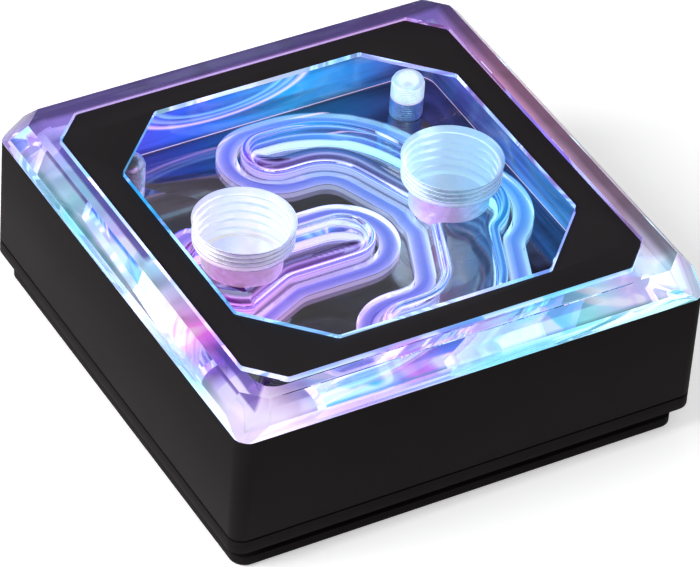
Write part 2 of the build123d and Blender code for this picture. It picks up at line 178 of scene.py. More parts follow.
class Finishes(bpy.types.PropertyGroup):
    """Colours of the finishes, and the hues of the painted lamp glow."""
    black: FloatVectorProperty(name="Black", description="Satin black of the frame",
                               default=(0.0115, 0.0095, 0.010), subtype="COLOR", size=3)
    trim: FloatVectorProperty(name="Trim", description="Black of the trim plate",
                              default=(0.019, 0.0165, 0.018), subtype="COLOR", size=3)
    nickel: FloatVectorProperty(name="Nickel", description="Plated copper of the cold plate",
                                default=(0.70, 0.66, 0.60), subtype="COLOR", size=3)
    mirror: FloatVectorProperty(name="Mirror", description="Dark mirror of the flow plate",
                                default=(0.40, 0.37, 0.40), subtype="COLOR", size=3)
    glow_left: FloatVectorProperty(name="Glow, inlet side", description="Lamp colour on the inlet side",
                                   default=(0.30, 0.15, 0.86), subtype="COLOR", size=3)
    glow_middle: FloatVectorProperty(name="Glow, middle", description="Lamp colour in the middle",
                                     default=(0.15, 0.18, 0.88), subtype="COLOR", size=3)
    glow_right: FloatVectorProperty(name="Glow, outlet side", description="Lamp colour on the outlet side",
                                    default=(0.06, 0.36, 0.92), subtype="COLOR", size=3)
    turned_steel: FloatVectorProperty(name="Turned steel", description="Steel of the bright screws",
                                      default=(0.34, 0.35, 0.40), subtype="COLOR", size=3)
    screw_black: FloatVectorProperty(name="Screw black", description="Black of the countersunk screws",
                                     default=(0.03, 0.03, 0.03), subtype="COLOR", size=3)
    etched_steel: FloatVectorProperty(name="Etched steel", description="Steel of the jet plate",
                                      default=(0.55, 0.55, 0.56), subtype="COLOR", size=3)
    tin: FloatVectorProperty(name="Tin", description="Metal ends of the chips",
                             default=(0.62, 0.61, 0.60), subtype="COLOR", size=3)
    ceramic: FloatVectorProperty(name="Ceramic", description="Tan middle of the chips",
                                 default=(0.36, 0.27, 0.19), subtype="COLOR", size=3)
    rubber: FloatVectorProperty(name="Rubber", description="Black of the hidden seal and the grommet",
                                default=(0.02, 0.02, 0.02), subtype="COLOR", size=3)
    film: FloatVectorProperty(name="Film", description="Black of the film under the trim plate",
                              default=(0.012, 0.011, 0.013), subtype="COLOR", size=3)
    board: FloatVectorProperty(name="Board", description="White of the lamp board",
                               default=(0.72, 0.72, 0.70), subtype="COLOR", size=3)
    ivory: FloatVectorProperty(name="Ivory", description="Plastic of the cable socket",
                               default=(0.70, 0.67, 0.60), subtype="COLOR", size=3)


class GlowStrengths(bpy.types.PropertyGroup):
    """Strength of the lamp light in each kind of face."""
    threads: FloatProperty(name="Threads", description="Glow of the port threads", default=0.62)
    channels: FloatProperty(name="Channels", description="Glow of the channel walls", default=0.75)
    grooves: FloatProperty(name="Grooves", description="Glow of the seal grooves", default=0.6)
    holes: FloatProperty(name="Screw holes", description="Glow of the blind screw holes", default=0.65)
    recess: FloatProperty(name="Recess edges", description="Glow of the edges beside the trim", default=0.6)
    recess_floor: FloatProperty(name="Recess floor", description="Glow under the trim plate", default=0.9)
    rim: FloatProperty(name="Rim", description="Glow of the flange's underside", default=0.9)
    edge: FloatProperty(name="Edge", description="Glow of the flange's upright wall", default=0.15)
    walls: FloatProperty(name="Walls", description="Glow of the body's side walls", default=1.0)
    seals: FloatProperty(name="Seals", description="Glow of the soft seals", default=0.8)
    lamp_bodies: FloatProperty(name="Lamp bodies", description="Glow of the lamp bodies", default=0.7)
    lamp_domes: FloatProperty(name="Lamp domes", description="Glow of the lamp lenses", default=1.5)


class StageSizes(bpy.types.PropertyGroup):
    """Camera and light."""
    lens: FloatProperty(name="Lens", description="Focal length on a 36 mm sensor", default=247.17)
    ambient: FloatProperty(name="Ambient", description="Strength of the room's light", default=0.35)
    ceiling: FloatProperty(name="Ceiling", description="Brightness of the ceiling in mirrors", default=0.12)
    key_power: FloatProperty(name="Key light", description="Power of the key light", default=9.0,
                             unit="POWER")
    fill_share: FloatProperty(name="Fill light", description="Power of the fill light, as a share of the key",
                              default=0.2, subtype="FACTOR")


def sizes():
    """Sizes of the clear block."""
    return bpy.context.scene.block_sizes


def small_parts():
    """Sizes of the screws and the lamps."""
    return bpy.context.scene.block_small_parts


def finishes():
    """Colours of the finishes, and the hues of the painted lamp glow."""
    return bpy.context.scene.block_finishes


def glow():
    """Strengths of the lamp light."""
    return bpy.context.scene.block_glow


# Plan outlines and shells


def rounded_polygon(corners, radius, steps):
    """Plan points of a polygon with rounded corners, counter-clockwise."""
    points = []
    count = len(corners)
    for i, corner in enumerate(corners):
        here = Vector(corner)
        before = (Vector(corners[i - 1]) - here).normalized()
        after = (Vector(corners[(i + 1) % count]) - here).normalized()
        half_angle = before.angle(after) / 2
        center = here + (before + after).normalized() * (radius / math.sin(half_angle))
        start = here + before * (radius / math.tan(half_angle)) - center
        sweep = math.pi - 2 * half_angle
        for k in range(steps + 1):
            turn = Matrix.Rotation(sweep * k / steps, 2)
            points.append(center + turn @ start)
    return points


def square(half, radius, steps=10):
    """Plan points of a rounded square."""
    return rounded_polygon([(half, -half), (half, half), (-half, half), (-half, -half)], radius, steps)


def octagon_corners(half, leg):
    """Corners of a square with cut corners."""
    flat = half - leg
    return [(half, -flat), (half, flat), (flat, half), (-flat, half),
            (-half, flat), (-half, -flat), (-flat, -half), (flat, -half)]


def linked(name, mesh):
    """Piece of a mesh, in the scene."""
    piece = bpy.data.objects.new(name, mesh)
    bpy.context.scene.collection.objects.link(piece)
    return piece


def from_shape(name, shape):
    """Piece of an edit mesh, which is freed."""
    mesh = bpy.data.meshes.new(name)
    shape.to_mesh(mesh)
    shape.free()
    return linked(name, mesh)


def merged(node):
    """Edit mesh of a node of the frame, with its doubles merged."""
    shape = bmesh.new()
    shape.from_mesh(frame["nodes"][node].data)
    bmesh.ops.remove_doubles(shape, verts=shape.verts, dist=MERGE)
    return shape


def shell(name, loops, closed=False):
    """Closed shell over a stack of loops with equally many points; a closed stack forms a ring."""
    shape = bmesh.new()
    rows = [[shape.verts.new(point) for point in loop] for loop in loops]
    pairs = list(zip(rows, rows[1:]))
    if closed:
        pairs.append((rows[-1], rows[0]))
    for low, high in pairs:
        for k in range(len(low)):
            j = (k + 1) % len(low)
            shape.faces.new((low[k], low[j], high[j], high[k]))
    if not closed:
        shape.faces.new(list(reversed(rows[0])))
        shape.faces.new(rows[-1])
    bmesh.ops.recalc_face_normals(shape, faces=shape.faces)
    return from_shape(name, shape)


def level(points, z):
    """Plan points at a height."""
    return [Vector((p[0], p[1], z)) for p in points]


def band(name, outer, inner, low, high):
    """Upright ring between two plan outlines with equally many points."""
    return shell(name, [level(outer, low), level(outer, high), level(inner, high), level(inner, low)], True)


def plain_mesh(piece):
    """Turns a piece's modifiers into its mesh."""
    bpy.context.view_layer.update()
    graph = bpy.context.evaluated_depsgraph_get()
    mesh = bpy.data.meshes.new_from_object(piece.evaluated_get(graph))
    piece.modifiers.clear()
    piece.data = mesh
    return piece


def combine(piece, other, operation):
    """Adds, subtracts or intersects another shape, whose faces keep their own material."""
    step = piece.modifiers.new("combine", "BOOLEAN")
    step.operation = operation
    step.solver = "MANIFOLD"
    step.material_mode = "TRANSFER"
    step.object = other
    plain_mesh(piece)
    bpy.data.objects.remove(other)
    return piece


def soften(piece, width, segments=2, angle=25):
    """Rounds the sharp edges of a piece."""
    step = piece.modifiers.new("edges", "BEVEL")
    step.width = width
    step.segments = segments
    step.limit_method = "ANGLE"
    step.angle_limit = math.radians(angle)
    return plain_mesh(piece)


def smooth(piece, angle=28):
    """Smooth shading with sharp edges above an angle."""
    piece.data.shade_smooth()
    piece.data.set_sharp_from_angle(angle=math.radians(angle))
    return piece


def node_copy(node, name):
    """Editable copy of a node of the frame, merged and with flat faces joined."""
    shape = merged(node)
    bmesh.ops.dissolve_limit(shape, angle_limit=math.radians(0.5), verts=shape.verts, edges=shape.edges)
    return from_shape(name, shape)


def hand_over(piece, slot, *nodes):
    """Makes a piece part of the object: it rides on the root and stands for nodes of the frame."""
    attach(piece, "root")
    if nodes:
        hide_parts(*nodes)


def seal_outlines(node):
    """Outer and inner plan outline of a seal of the frame, as ordered points."""
    shape = merged(node)
    low = min(v.co.z for v in shape.verts) + 0.01 * MM
    floor = {f for f in shape.faces if all(v.co.z < low for v in f.verts)}
    rim = [e for e in shape.edges if sum(f in floor for f in e.link_faces) == 1]
    ways = {}
    for edge in rim:
        for a, b in (edge.verts, reversed(edge.verts)):
            ways.setdefault(a.index, []).append(b.index)
    spots = {v.index: v.co.to_2d() for v in shape.verts}
    shape.free()
    loops = []
    left = set(ways)
    while left:
        start = min(left)
        loop = [start]
        left.discard(start)
        while True:
            onward = [i for i in ways[loop[-1]] if i in left]
            if not onward:
                break
            loop.append(onward[0])
            left.discard(onward[0])
        loops.append([spots[i] for i in loop])
    return sorted(loops, key=loop_length, reverse=True)


def loop_length(points):
    """Length around a closed outline."""
    return sum((a - b).length for a, b in zip(points, points[1:] + points[:1]))


def even_loop(points, step, blur):
    """Closed outline at even steps, counter-clockwise, with its corners blurred."""
    area = sum(a.x * b.y - b.x * a.y for a, b in zip(points, points[1:] + points[:1]))
    if area < 0:
        points = points[::-1]
    count = round(loop_length(points) / step)
    spacing = loop_length(points) / count
    even = []
    travelled = 0.0
    target = 0.0
    for a, b in zip(points, points[1:] + points[:1]):
        length = (b - a).length
        while target < travelled + length - 1e-12 and len(even) < count:
            even.append(a.lerp(b, (target - travelled) / length))
            target += spacing
        travelled += length
    reach = round(3 * blur / step)
    weights = [math.exp(-0.5 * (k * step / blur) ** 2) for k in range(-reach, reach + 1)]
    total = sum(weights)
    blurred = []
    for i in range(count):
        mean = Vector((0, 0))
        for k, weight in enumerate(weights):
            mean += even[(i + k - reach) % count] * weight
        blurred.append(mean / total)
    return blurred


def offset_loop(points, distance):
    """Outline moved outward by an even distance."""
    moved = []
    count = len(points)
    for i, point in enumerate(points):
        along = points[(i + 1) % count] - points[i - 1]
        moved.append(point + Vector((along.y, -along.x)).normalized() * distance)
    return moved


# Shader helpers


class Tree:
    """Short hand for building a node tree."""

    def __init__(self, tree):
        self.tree = tree

    def add(self, kind, inputs=None, **settings):
        """New node with its settings and inputs."""
        node = self.tree.nodes.new(kind)
        for name, value in settings.items():
            setattr(node, name, value)
        for name, value in (inputs or {}).items():
            self.put(node.inputs[name], value)
        return node

    def put(self, socket, value):
        """Links a socket to another one, or sets its value."""
        if isinstance(value, bpy.types.NodeSocket):
            self.tree.links.new(value, socket)
        else:
            socket.default_value = value

    def math(self, operation, a, b=0.0):
        """Result of one sum."""
        return self.add("ShaderNodeMath", {0: a, 1: b}, operation=operation).outputs[0]

    def mix(self, factor, a, b, blend="MIX"):
        """Blend of two colours."""
        node = self.add("ShaderNodeMix", data_type="RGBA", blend_type=blend, clamp_factor=True)
        self.put(node.inputs[0], factor)
        self.put(node.inputs[6], a)
        self.put(node.inputs[7], b)
        return node.outputs[2]

    def times(self, a, b):
        """Product of two colours."""
        return self.mix(1.0, a, b, "MULTIPLY")

    def plus(self, a, b):
        """Sum of two colours."""
        return self.mix(1.0, a, b, "ADD")

    def span(self, value, low, high, to_low=0.0, to_high=1.0):
        """Value from one range brought to another, held at its ends."""
        return self.add("ShaderNodeMapRange", {"Value": value, "From Min": low, "From Max": high,
                                               "To Min": to_low, "To Max": to_high}).outputs[0]

    def ramp(self, value, stops):
        """Colour by a value, between stops."""
        node = self.add("ShaderNodeValToRGB", {"Fac": value})
        elements = node.color_ramp.elements
        while len(elements) < len(stops):
            elements.new(1.0)
        for element, (place, color) in zip(elements, stops):
            element.position = place
            element.color = (*color, 1.0)
        return node.outputs[0]

    def noise(self, vector, scale, detail=2.0, roughness=0.5):
        """Soft noise from 0 to 1."""
        return self.add("ShaderNodeTexNoise", {"Vector": vector, "Scale": scale, "Detail": detail,
                                               "Roughness": roughness}).outputs[0]

    def place(self):
        """Place on the object."""
        return self.add("ShaderNodeTexCoord").outputs["Object"]

    def stretched(self, vector, scale):
        """Place scaled along each axis."""
        return self.add("ShaderNodeMapping", {"Vector": vector, "Scale": scale}).outputs[0]

    def xyz(self, vector):
        """The three parts of a vector."""
        return self.add("ShaderNodeSeparateXYZ", {0: vector}).outputs

    def reach(self):
        """Distance from the middle in plan, even along the sides of a square."""
        x, y, _ = self.xyz(self.place())
        return self.math("MAXIMUM", self.math("ABSOLUTE", x), self.math("ABSOLUTE", y))


def shader_group(name, inputs, outputs, build):
    """Node group made once, with named sockets."""
    group = bpy.data.node_groups.get(name)
    if group:
        return group
    group = bpy.data.node_groups.new(name, "ShaderNodeTree")
    for label, kind, default in inputs:
        socket = group.interface.new_socket(label, in_out="INPUT", socket_type=kind)
        socket.default_value = default
    for label, kind in outputs:
        group.interface.new_socket(label, in_out="OUTPUT", socket_type=kind)
    tree = Tree(group)
    source = tree.add("NodeGroupInput").outputs
    sink = tree.add("NodeGroupOutput").inputs
    for label, socket in build(tree, source).items():
        tree.tree.links.new(socket, sink[label])
    return group


def lamp_hue_group():
    """Colour of the lamps' light over the plan: violet at the inlet, blue between, cyan at the outlet."""
    def build(tree, source):
        x, y, _ = tree.xyz(tree.place())
        along = tree.span(tree.math("ADD", x, tree.math("MULTIPLY", y, 0.25)), -22 * MM, 24 * MM)
        colors = finishes()
        hue = tree.ramp(along, [
            (0.0, colors.glow_left), (0.5, colors.glow_middle), (1.0, colors.glow_right)])
        pale = tree.ramp(along, [
            (0.0, (0.84, 0.44, 1.0)), (0.5, (0.56, 0.54, 1.0)), (1.0, (0.32, 0.80, 1.0))])
        return {"Hue": hue, "Pale": pale}
    return shader_group("lamp_hue", [], [("Hue", "NodeSocketColor"), ("Pale", "NodeSocketColor")], build)


def caustic_group():
    """Folded patches of lamp light: a shade from dark to full, and a mask of the white peaks."""
    def build(tree, source):
        swirl = tree.add("ShaderNodeTexNoise", {
            "Vector": tree.stretched(tree.place(), (1.0, 1.0, 1.6)), "Scale": source["Scale"], "Detail": 0.7,
            "Distortion": source["Twist"]}).outputs[0]
        return {"Shade": tree.span(swirl, 0.34, 0.56), "Peak": tree.span(swirl, 0.56, 0.63)}
    return shader_group(
        "lamp_caustics", [("Scale", "NodeSocketFloat", 120.0), ("Twist", "NodeSocketFloat", 1.5)],
        [("Shade", "NodeSocketFloat"), ("Peak", "NodeSocketFloat")], build)


def grain_group():
    """Fine grain of a blasted or moulded surface."""
    def build(tree, source):
        place = tree.place()
        fine = tree.noise(place, source["Scale"], 3.0, 0.6)
        broad = tree.noise(place, 60.0, 2.0, 0.5)
        shade = tree.math("ADD", tree.math("MULTIPLY", fine, 0.5), tree.math("MULTIPLY", broad, 0.5))
        return {"Height": fine, "Shade": shade}
    return shader_group("fine_grain", [("Scale", "NodeSocketFloat", 9000.0)],
                        [("Height", "NodeSocketFloat"), ("Shade", "NodeSocketFloat")], build)


def new_material(name):
    """Material with an empty Principled shader: its tree helper and its shader."""
    material = bpy.data.materials.new(name)
    material.use_nodes = True
    tree = Tree(material.node_tree)
    return material, tree, material.node_tree.nodes["Principled BSDF"]


def use_group(tree, group, **inputs):
    """Places a node group in a material."""
    node = tree.add("ShaderNodeGroup")
    node.node_tree = group
    for name, value in inputs.items():
        tree.put(node.inputs[name], value)
    return node.outputs


def made(name, build, *values):
    """Material by its name, built once from its values."""
    return bpy.data.materials.get(name) or build(name, *values)


def grained(name, color, grain=9000.0, rough=(0.42, 0.56), specular=0.04):
    """Coated, moulded or ceramic surface with a fine grain."""
    material, tree, shader = new_material(name)
    grainy = use_group(tree, grain_group(), Scale=grain)
    dark = tuple(0.8 * c for c in color)
    light = tuple(1.25 * c for c in color)
    tree.put(shader.inputs["Base Color"], tree.ramp(grainy["Shade"], [(0.3, dark), (0.7, light)]))
    tree.put(shader.inputs["Roughness"], tree.span(grainy["Shade"], 0.3, 0.7, *rough))
    bump = tree.add("ShaderNodeBump", {"Height": grainy["Height"], "Strength": 0.06, "Distance": 0.05 * MM})
    tree.put(shader.inputs["Normal"], bump.outputs[0])
    shader.inputs["Specular IOR Level"].default_value = specular
    return material


def brushed_metal(name, color, rough, stretch, strength=0.05):
    """Metal with fine lines along one direction."""
    material, tree, shader = new_material(name)
    lines = tree.noise(tree.stretched(tree.place(), stretch), 1.0, 4.0, 0.65)
    dark = tuple(0.82 * c for c in color)
    tree.put(shader.inputs["Base Color"], tree.ramp(lines, [(0.3, dark), (0.7, tuple(color))]))
    tree.put(shader.inputs["Roughness"], tree.span(lines, 0.25, 0.75, *rough))
    bump = tree.add("ShaderNodeBump", {"Height": lines, "Strength": strength, "Distance": 0.02 * MM})
    tree.put(shader.inputs["Normal"], bump.outputs[0])
    shader.inputs["Metallic"].default_value = 1.0
    return material


def clear(name):
    """Polished acrylic with faint polishing marks."""
    material, tree, shader = new_material(name)
    marks = tree.noise(tree.place(), 700.0, 3.0, 0.6)
    tree.put(shader.inputs["Roughness"], tree.span(marks, 0.4, 0.7, 0.0, 0.02))
    tree.put(shader.inputs["Base Color"], tree.ramp(marks, FAINT_MARKS))
    shader.inputs["Transmission Weight"].default_value = 1.0
    shader.inputs["IOR"].default_value = ACRYLIC_IOR
    return material


def glowing_clear(name, light, rough, strength, clearness=1.0, painted_colour=None):
    """Acrylic face with painted lamp light: an emission that changes over the face, standing in for the light
    that the face scatters, and a painted colour of light hue and shade.
    """
    material, tree, shader = new_material(name)
    tree.put(shader.inputs["Emission Color"], light(tree))
    shader.inputs["Emission Strength"].default_value = strength
    marks = tree.noise(tree.place(), 900.0, 3.0, 0.6)
    tree.put(shader.inputs["Base Color"], painted_colour(tree) if painted_colour else tree.ramp(marks, FAINT_MARKS))
    tree.put(shader.inputs["Roughness"], tree.span(marks, 0.3, 0.7, 0.6 * rough, 1.4 * rough))
    shader.inputs["Transmission Weight"].default_value = clearness
    shader.inputs["Specular IOR Level"].default_value = 0.5 * clearness
    shader.inputs["IOR"].default_value = ACRYLIC_IOR
    return material


# Light in the clear block: what its faces scatter, by their place on the block


def greys(stops):
    """Colour stops of plain greys."""
    return [(place, (shade, shade, shade)) for place, shade in stops]


def channel_light(tree):
    """Light on the channel walls: bands along the channel that change with height."""
    x, _, z = tree.xyz(tree.place())
    pale = use_group(tree, lamp_hue_group())["Pale"]
    height = tree.span(z, FLOW_TOP, FLOW_TOP + sizes().channel_depth)
    wide = tree.ramp(height, greys([
        (0.0, 0.20), (0.30, 0.08), (0.50, 0.70), (0.62, 0.05), (0.74, 0.90), (0.84, 0.25), (0.93, 0.60),
        (0.985, 0.08)]))
    thin = tree.ramp(height, greys([
        (0.47, 0.0), (0.51, 0.8), (0.55, 0.0), (0.71, 0.0), (0.76, 1.0), (0.81, 0.0), (0.90, 0.0),
        (0.94, 0.6), (0.97, 0.0)]))
    deep = tree.ramp(tree.span(x, -20 * MM, 20 * MM), [
        (0.0, (0.50, 0.06, 0.90)), (0.45, (0.30, 0.10, 0.95)), (1.0, (0.02, 0.42, 0.95))])
    return tree.plus(tree.times(deep, wide), tree.times(pale, thin))


def thread_light(tree):
    """Light on the threads: white, cyan at the outlet, brighter on upward flanks, pink low down."""
    x, y, z = tree.xyz(tree.place())
    white = tree.ramp(tree.span(x, -22 * MM, 22 * MM), [
        (0.0, (1.0, 0.97, 0.88)), (0.35, (0.86, 0.94, 1.0)), (1.0, (0.50, 0.92, 1.0))])
    low = tree.span(z, RIM_Z - 4.0 * MM, RIM_Z - 1.5 * MM, 1.0, 0.0)
    pink = tree.ramp(tree.span(x, -20 * MM, 20 * MM), [
        (0.0, (1.0, 0.55, 0.92)), (0.30, (1.0, 0.40, 0.92)), (0.78, (1.0, 0.40, 0.95)),
        (0.95, (0.25, 0.80, 1.0))])
    foot = tree.mix(tree.span(y, -2 * MM, 1.5 * MM), pink, white)
    painted_colour = tree.mix(low, white, foot)
    normal = tree.add("ShaderNodeTexCoord").outputs["Normal"]
    up = tree.span(tree.xyz(normal)[2], -0.8, 0.8, 0.65, 1.0)
    far = tree.span(y, -5 * MM, MM, tree.span(low, 0.0, 1.0, 0.16, 0.6), 1.0)
    return tree.times(painted_colour, tree.math("MULTIPLY", up, far))


def hole_light(tree):
    """Light on the screw holes: white above the screw's end, pink at it and dark blue below."""
    x, _, z = tree.xyz(tree.place())
    painted_colour = tree.ramp(tree.span(z, SCREW_TOP - 0.5 * MM, SCREW_TOP + 1.5 * MM), [
        (0.0, (0.01, 0.04, 0.20)), (0.2, (0.02, 0.06, 0.28)), (0.28, (0.75, 0.25, 0.60)),
        (0.5, (0.62, 0.78, 0.85)), (1.0, (0.68, 0.86, 0.90))])
    # Painted shade: the holes at the inlet side glow hardly at all.
    return tree.times(painted_colour, tree.span(x, -1 * MM, 1 * MM, 0.05, 1.0))


def hole_painted_shade(tree):
    """Painted shade in the screw holes: white at the outlet side, dark at the inlet side."""
    x = tree.xyz(tree.place())[0]
    return tree.ramp(tree.span(x, -MM, MM), [(0.0, (0.03, 0.03, 0.05)), (1.0, (0.95, 0.98, 1.0))])


def groove_light(tree):
    """Light on the walls of the seal grooves, none on their roofs."""
    z = tree.xyz(tree.place())[2]
    wall = tree.span(z, SEAL_TOP - 0.2 * MM, SEAL_TOP - 0.05 * MM, 1.0, 0.0)
    return tree.times(use_group(tree, lamp_hue_group())["Pale"], wall)


def far_side(tree):
    """Mask of the flange's two far sides."""
    x, y, _ = tree.xyz(tree.place())
    right = tree.math("MINIMUM", tree.span(x, 26 * MM, 29 * MM), tree.span(y, -30 * MM, -25 * MM))
    return tree.math("MAXIMUM", tree.span(y, 26 * MM, 29 * MM), right)


def side_hues(tree, front, left, far):
    """Colours along the flange: the front from the left, the left side from the near corner, the far sides."""
    x, y, _ = tree.xyz(tree.place())
    low, high = TOP_BOX
    along_front = tree.ramp(tree.span(x, low[0], high[0]), front)
    along_left = tree.ramp(tree.span(y, low[1], high[1]), left)
    at_left = tree.span(tree.math("SUBTRACT", y, x), -0.3 * MM, 0.3 * MM)
    near = tree.mix(at_left, along_front, along_left)
    along_far = tree.ramp(tree.span(tree.math("SUBTRACT", x, y), 2 * low[0], 2 * high[0]), far)
    return tree.mix(far_side(tree), near, along_far)


def painted_strip_mask(tree):
    """Mask of the strips of painted shade under the flange, beside the body at the near sides."""
    half, full = 0.5, 0.9
    along = side_hues(
        tree,
        greys([(0.10, 0.0), (0.16, half), (0.44, half), (0.48, full), (0.60, full), (0.64, half),
               (0.76, half), (0.80, 0.0)]),
        greys([(0.04, half), (0.10, full), (0.22, full), (0.25, 0.0), (0.50, 0.0), (0.52, full),
               (0.92, full), (0.95, 0.0)]),
        greys([(0.0, 0.0), (1.0, 0.0)]))
    return tree.math("MULTIPLY", tree.span(tree.reach(), 28.2 * MM, 28.5 * MM, 1.0, 0.0), along)


def rim_painted_shade(tree):
    """Painted shade in the flange's underside: deep violet in the dark strips, clear elsewhere."""
    return tree.mix(painted_strip_mask(tree), (1.0, 1.0, 1.0, 1.0), (0.06, 0.04, 0.25, 1.0))


def rim_hue(tree):
    """Colours of the painted light under the flange: pink, violet, azure and cyan at the near sides, mauve at
    the far ones.
    """
    front = [
        (0.0, (0.95, 0.60, 1.0)), (0.12, (0.90, 0.62, 1.0)), (0.20, (0.20, 0.62, 1.0)),
        (0.30, (0.10, 0.36, 0.95)), (0.38, (0.85, 0.22, 0.85)), (0.46, (0.22, 0.10, 0.85)),
        (0.54, (0.05, 0.16, 0.95)), (0.62, (0.05, 0.60, 0.95)), (0.76, (0.35, 0.90, 1.0)),
        (0.86, (0.60, 0.50, 0.95)), (1.0, (0.30, 0.95, 1.0))]
    left = [
        (0.0, (0.95, 0.60, 1.0)), (0.12, (0.45, 0.42, 1.0)), (0.20, (0.25, 0.10, 0.85)),
        (0.29, (0.85, 0.14, 0.70)), (0.37, (0.80, 0.60, 1.0)), (0.48, (0.40, 0.80, 1.0)),
        (0.60, (0.62, 0.52, 1.0)), (0.74, (0.34, 0.76, 1.0)), (0.88, (0.50, 0.50, 1.0)),
        (1.0, (0.34, 0.30, 0.90))]
    far = [
        (0.0, (0.17, 0.12, 0.42)), (0.5, (0.12, 0.08, 0.30)), (0.62, (0.36, 0.16, 0.30)),
        (0.85, (0.28, 0.19, 0.28)), (1.0, (0.30, 0.40, 0.50))]
    return side_hues(tree, front, left, far)


def rim_light(tree):
    """Light under the flange: folded patches around the lamps, plain and weak at the far sides, with painted
    shade in the dark strips.
    """
    x, y, _ = tree.xyz(tree.place())
    reach = tree.reach()
    far = far_side(tree)
    patch = use_group(tree, caustic_group(), Scale=130.0, Twist=1.2)
    weakest = tree.math("MAXIMUM", tree.span(x, 8 * MM, 16 * MM, 0.5, 0.85),
                        tree.span(y, -4 * MM, 4 * MM, 0.5, 0.75))
    shaded = tree.times(rim_hue(tree), tree.span(patch["Shade"], 0.0, 1.0, weakest, 1.0))
    corner = tree.span(tree.math("ADD", x, y), -57 * MM, -50 * MM, 0.8, 0.0)
    peak = tree.math("MAXIMUM", tree.math("MULTIPLY", patch["Peak"], 0.65), corner)
    pale = tree.math("MULTIPLY", peak, tree.math("SUBTRACT", 1.0, far))
    lit = tree.mix(pale, shaded, (0.92, 0.93, 1.0, 1.0))
    lit = tree.mix(far, lit, tree.times(lit, tree.span(reach, 30.0 * MM, 31.0 * MM, 1.9, 0.65)))
    # Painted shade: the dark strips glow only a deep violet.
    lit = tree.mix(painted_strip_mask(tree), lit, (0.07, 0.05, 0.30, 1.0))
    margin = tree.span(reach, 30.1 * MM, 30.8 * MM)
    open_side = tree.math("SUBTRACT", 1.0, tree.math("MAXIMUM", far, corner))
    edge = tree.times(edge_hue(tree), (0.4, 0.4, 0.4, 1.0))
    return tree.mix(tree.math("MULTIPLY", margin, open_side), lit, edge)


def edge_hue(tree):
    """Colour of the painted lamp light in the flange's upright wall, also painted into its base colour: cyan
    at the left, pink to violet to cyan along the front.
    """
    front = [
        (0.0, (0.95, 0.70, 1.0)), (0.12, (0.75, 0.50, 1.0)), (0.26, (0.45, 0.32, 0.95)),
        (0.38, (0.45, 0.50, 1.0)), (0.52, (0.20, 0.72, 1.0)), (0.75, (0.30, 0.90, 1.0)),
        (1.0, (0.45, 1.0, 1.0))]
    left = [
        (0.0, (0.80, 0.75, 1.0)), (0.2, (0.30, 0.75, 1.0)), (0.40, (0.60, 0.66, 1.0)),
        (0.65, (0.18, 0.80, 1.0)), (1.0, (0.30, 0.55, 1.0))]
    far = [(0.0, (0.50, 0.42, 0.80)), (1.0, (0.55, 0.42, 0.60))]
    return side_hues(tree, front, left, far)


def edge_light(tree):
    """Light in the flange's upright wall, in soft patches."""
    patch = use_group(tree, caustic_group(), Scale=160.0, Twist=1.0)["Shade"]
    lit = tree.math("MULTIPLY", tree.span(patch, 0.0, 1.0, 0.7, 1.1),
                    tree.span(far_side(tree), 0.0, 1.0, 1.0, 0.3))
    return tree.times(edge_hue(tree), lit)


def recess_floor_light(tree):
    """Level streaks of weak light under the trim, which the plate below mirrors."""
    place = tree.place()
    x, y, _ = tree.xyz(place)
    streak = tree.noise(tree.stretched(place, (25.0, 260.0, 1.0)), 1.0, 1.5)
    hue = tree.ramp(tree.span(x, -20 * MM, 24 * MM), [
        (0.0, (0.34, 0.32, 0.36)), (0.5, (0.30, 0.28, 0.38)), (1.0, (0.10, 0.18, 0.42))])
    front = tree.span(y, -20 * MM, -2 * MM, 0.8, 0.0)
    return tree.times(tree.mix(front, hue, (0.28, 0.11, 0.55, 1.0)), tree.span(streak, 0.34, 0.64))


def recess_light(tree):
    """Light caught by the recess edges: cyan at the left and front of the window, weak lavender outside."""
    x, y, _ = tree.xyz(tree.place())
    window = tree.ramp(tree.span(x, -24 * MM, 24 * MM), [
        (0.0, (0.05, 0.48, 1.0)), (0.25, (0.40, 0.74, 1.0)), (0.5, (0.80, 0.85, 1.0)),
        (0.75, (0.28, 0.55, 1.0)), (1.0, (0.40, 0.26, 0.95))])
    outside = tree.ramp(tree.span(tree.math("ADD", x, y), -40 * MM, 40 * MM), [
        (0.0, (0.30, 0.45, 0.95)), (0.45, (0.03, 0.42, 0.95)), (0.55, (0.22, 0.15, 0.38)),
        (1.0, (0.28, 0.12, 0.34))])
    return tree.mix(tree.span(tree.reach(), 26.3 * MM, 26.6 * MM), window, outside)


def recess_painted_hue(tree):
    """Painted light hue in the recess edges: blue at the near sides, mauve at the far sides."""
    x, y, _ = tree.xyz(tree.place())
    across = tree.span(tree.math("ADD", x, y), -6 * MM, 6 * MM)
    return tree.ramp(across, [(0.0, (0.35, 0.65, 1.0)), (1.0, (0.30, 0.22, 0.45))])


def wall_painted_shade(tree):
    """Painted shade on the body's side walls: dark blue, darker towards the foot."""
    z = tree.xyz(tree.place())[2]
    return tree.ramp(tree.span(z, FLOW_TOP, RIM_Z), [
        (0.0, (0.008, 0.012, 0.06)), (1.0, (0.012, 0.018, 0.10))])


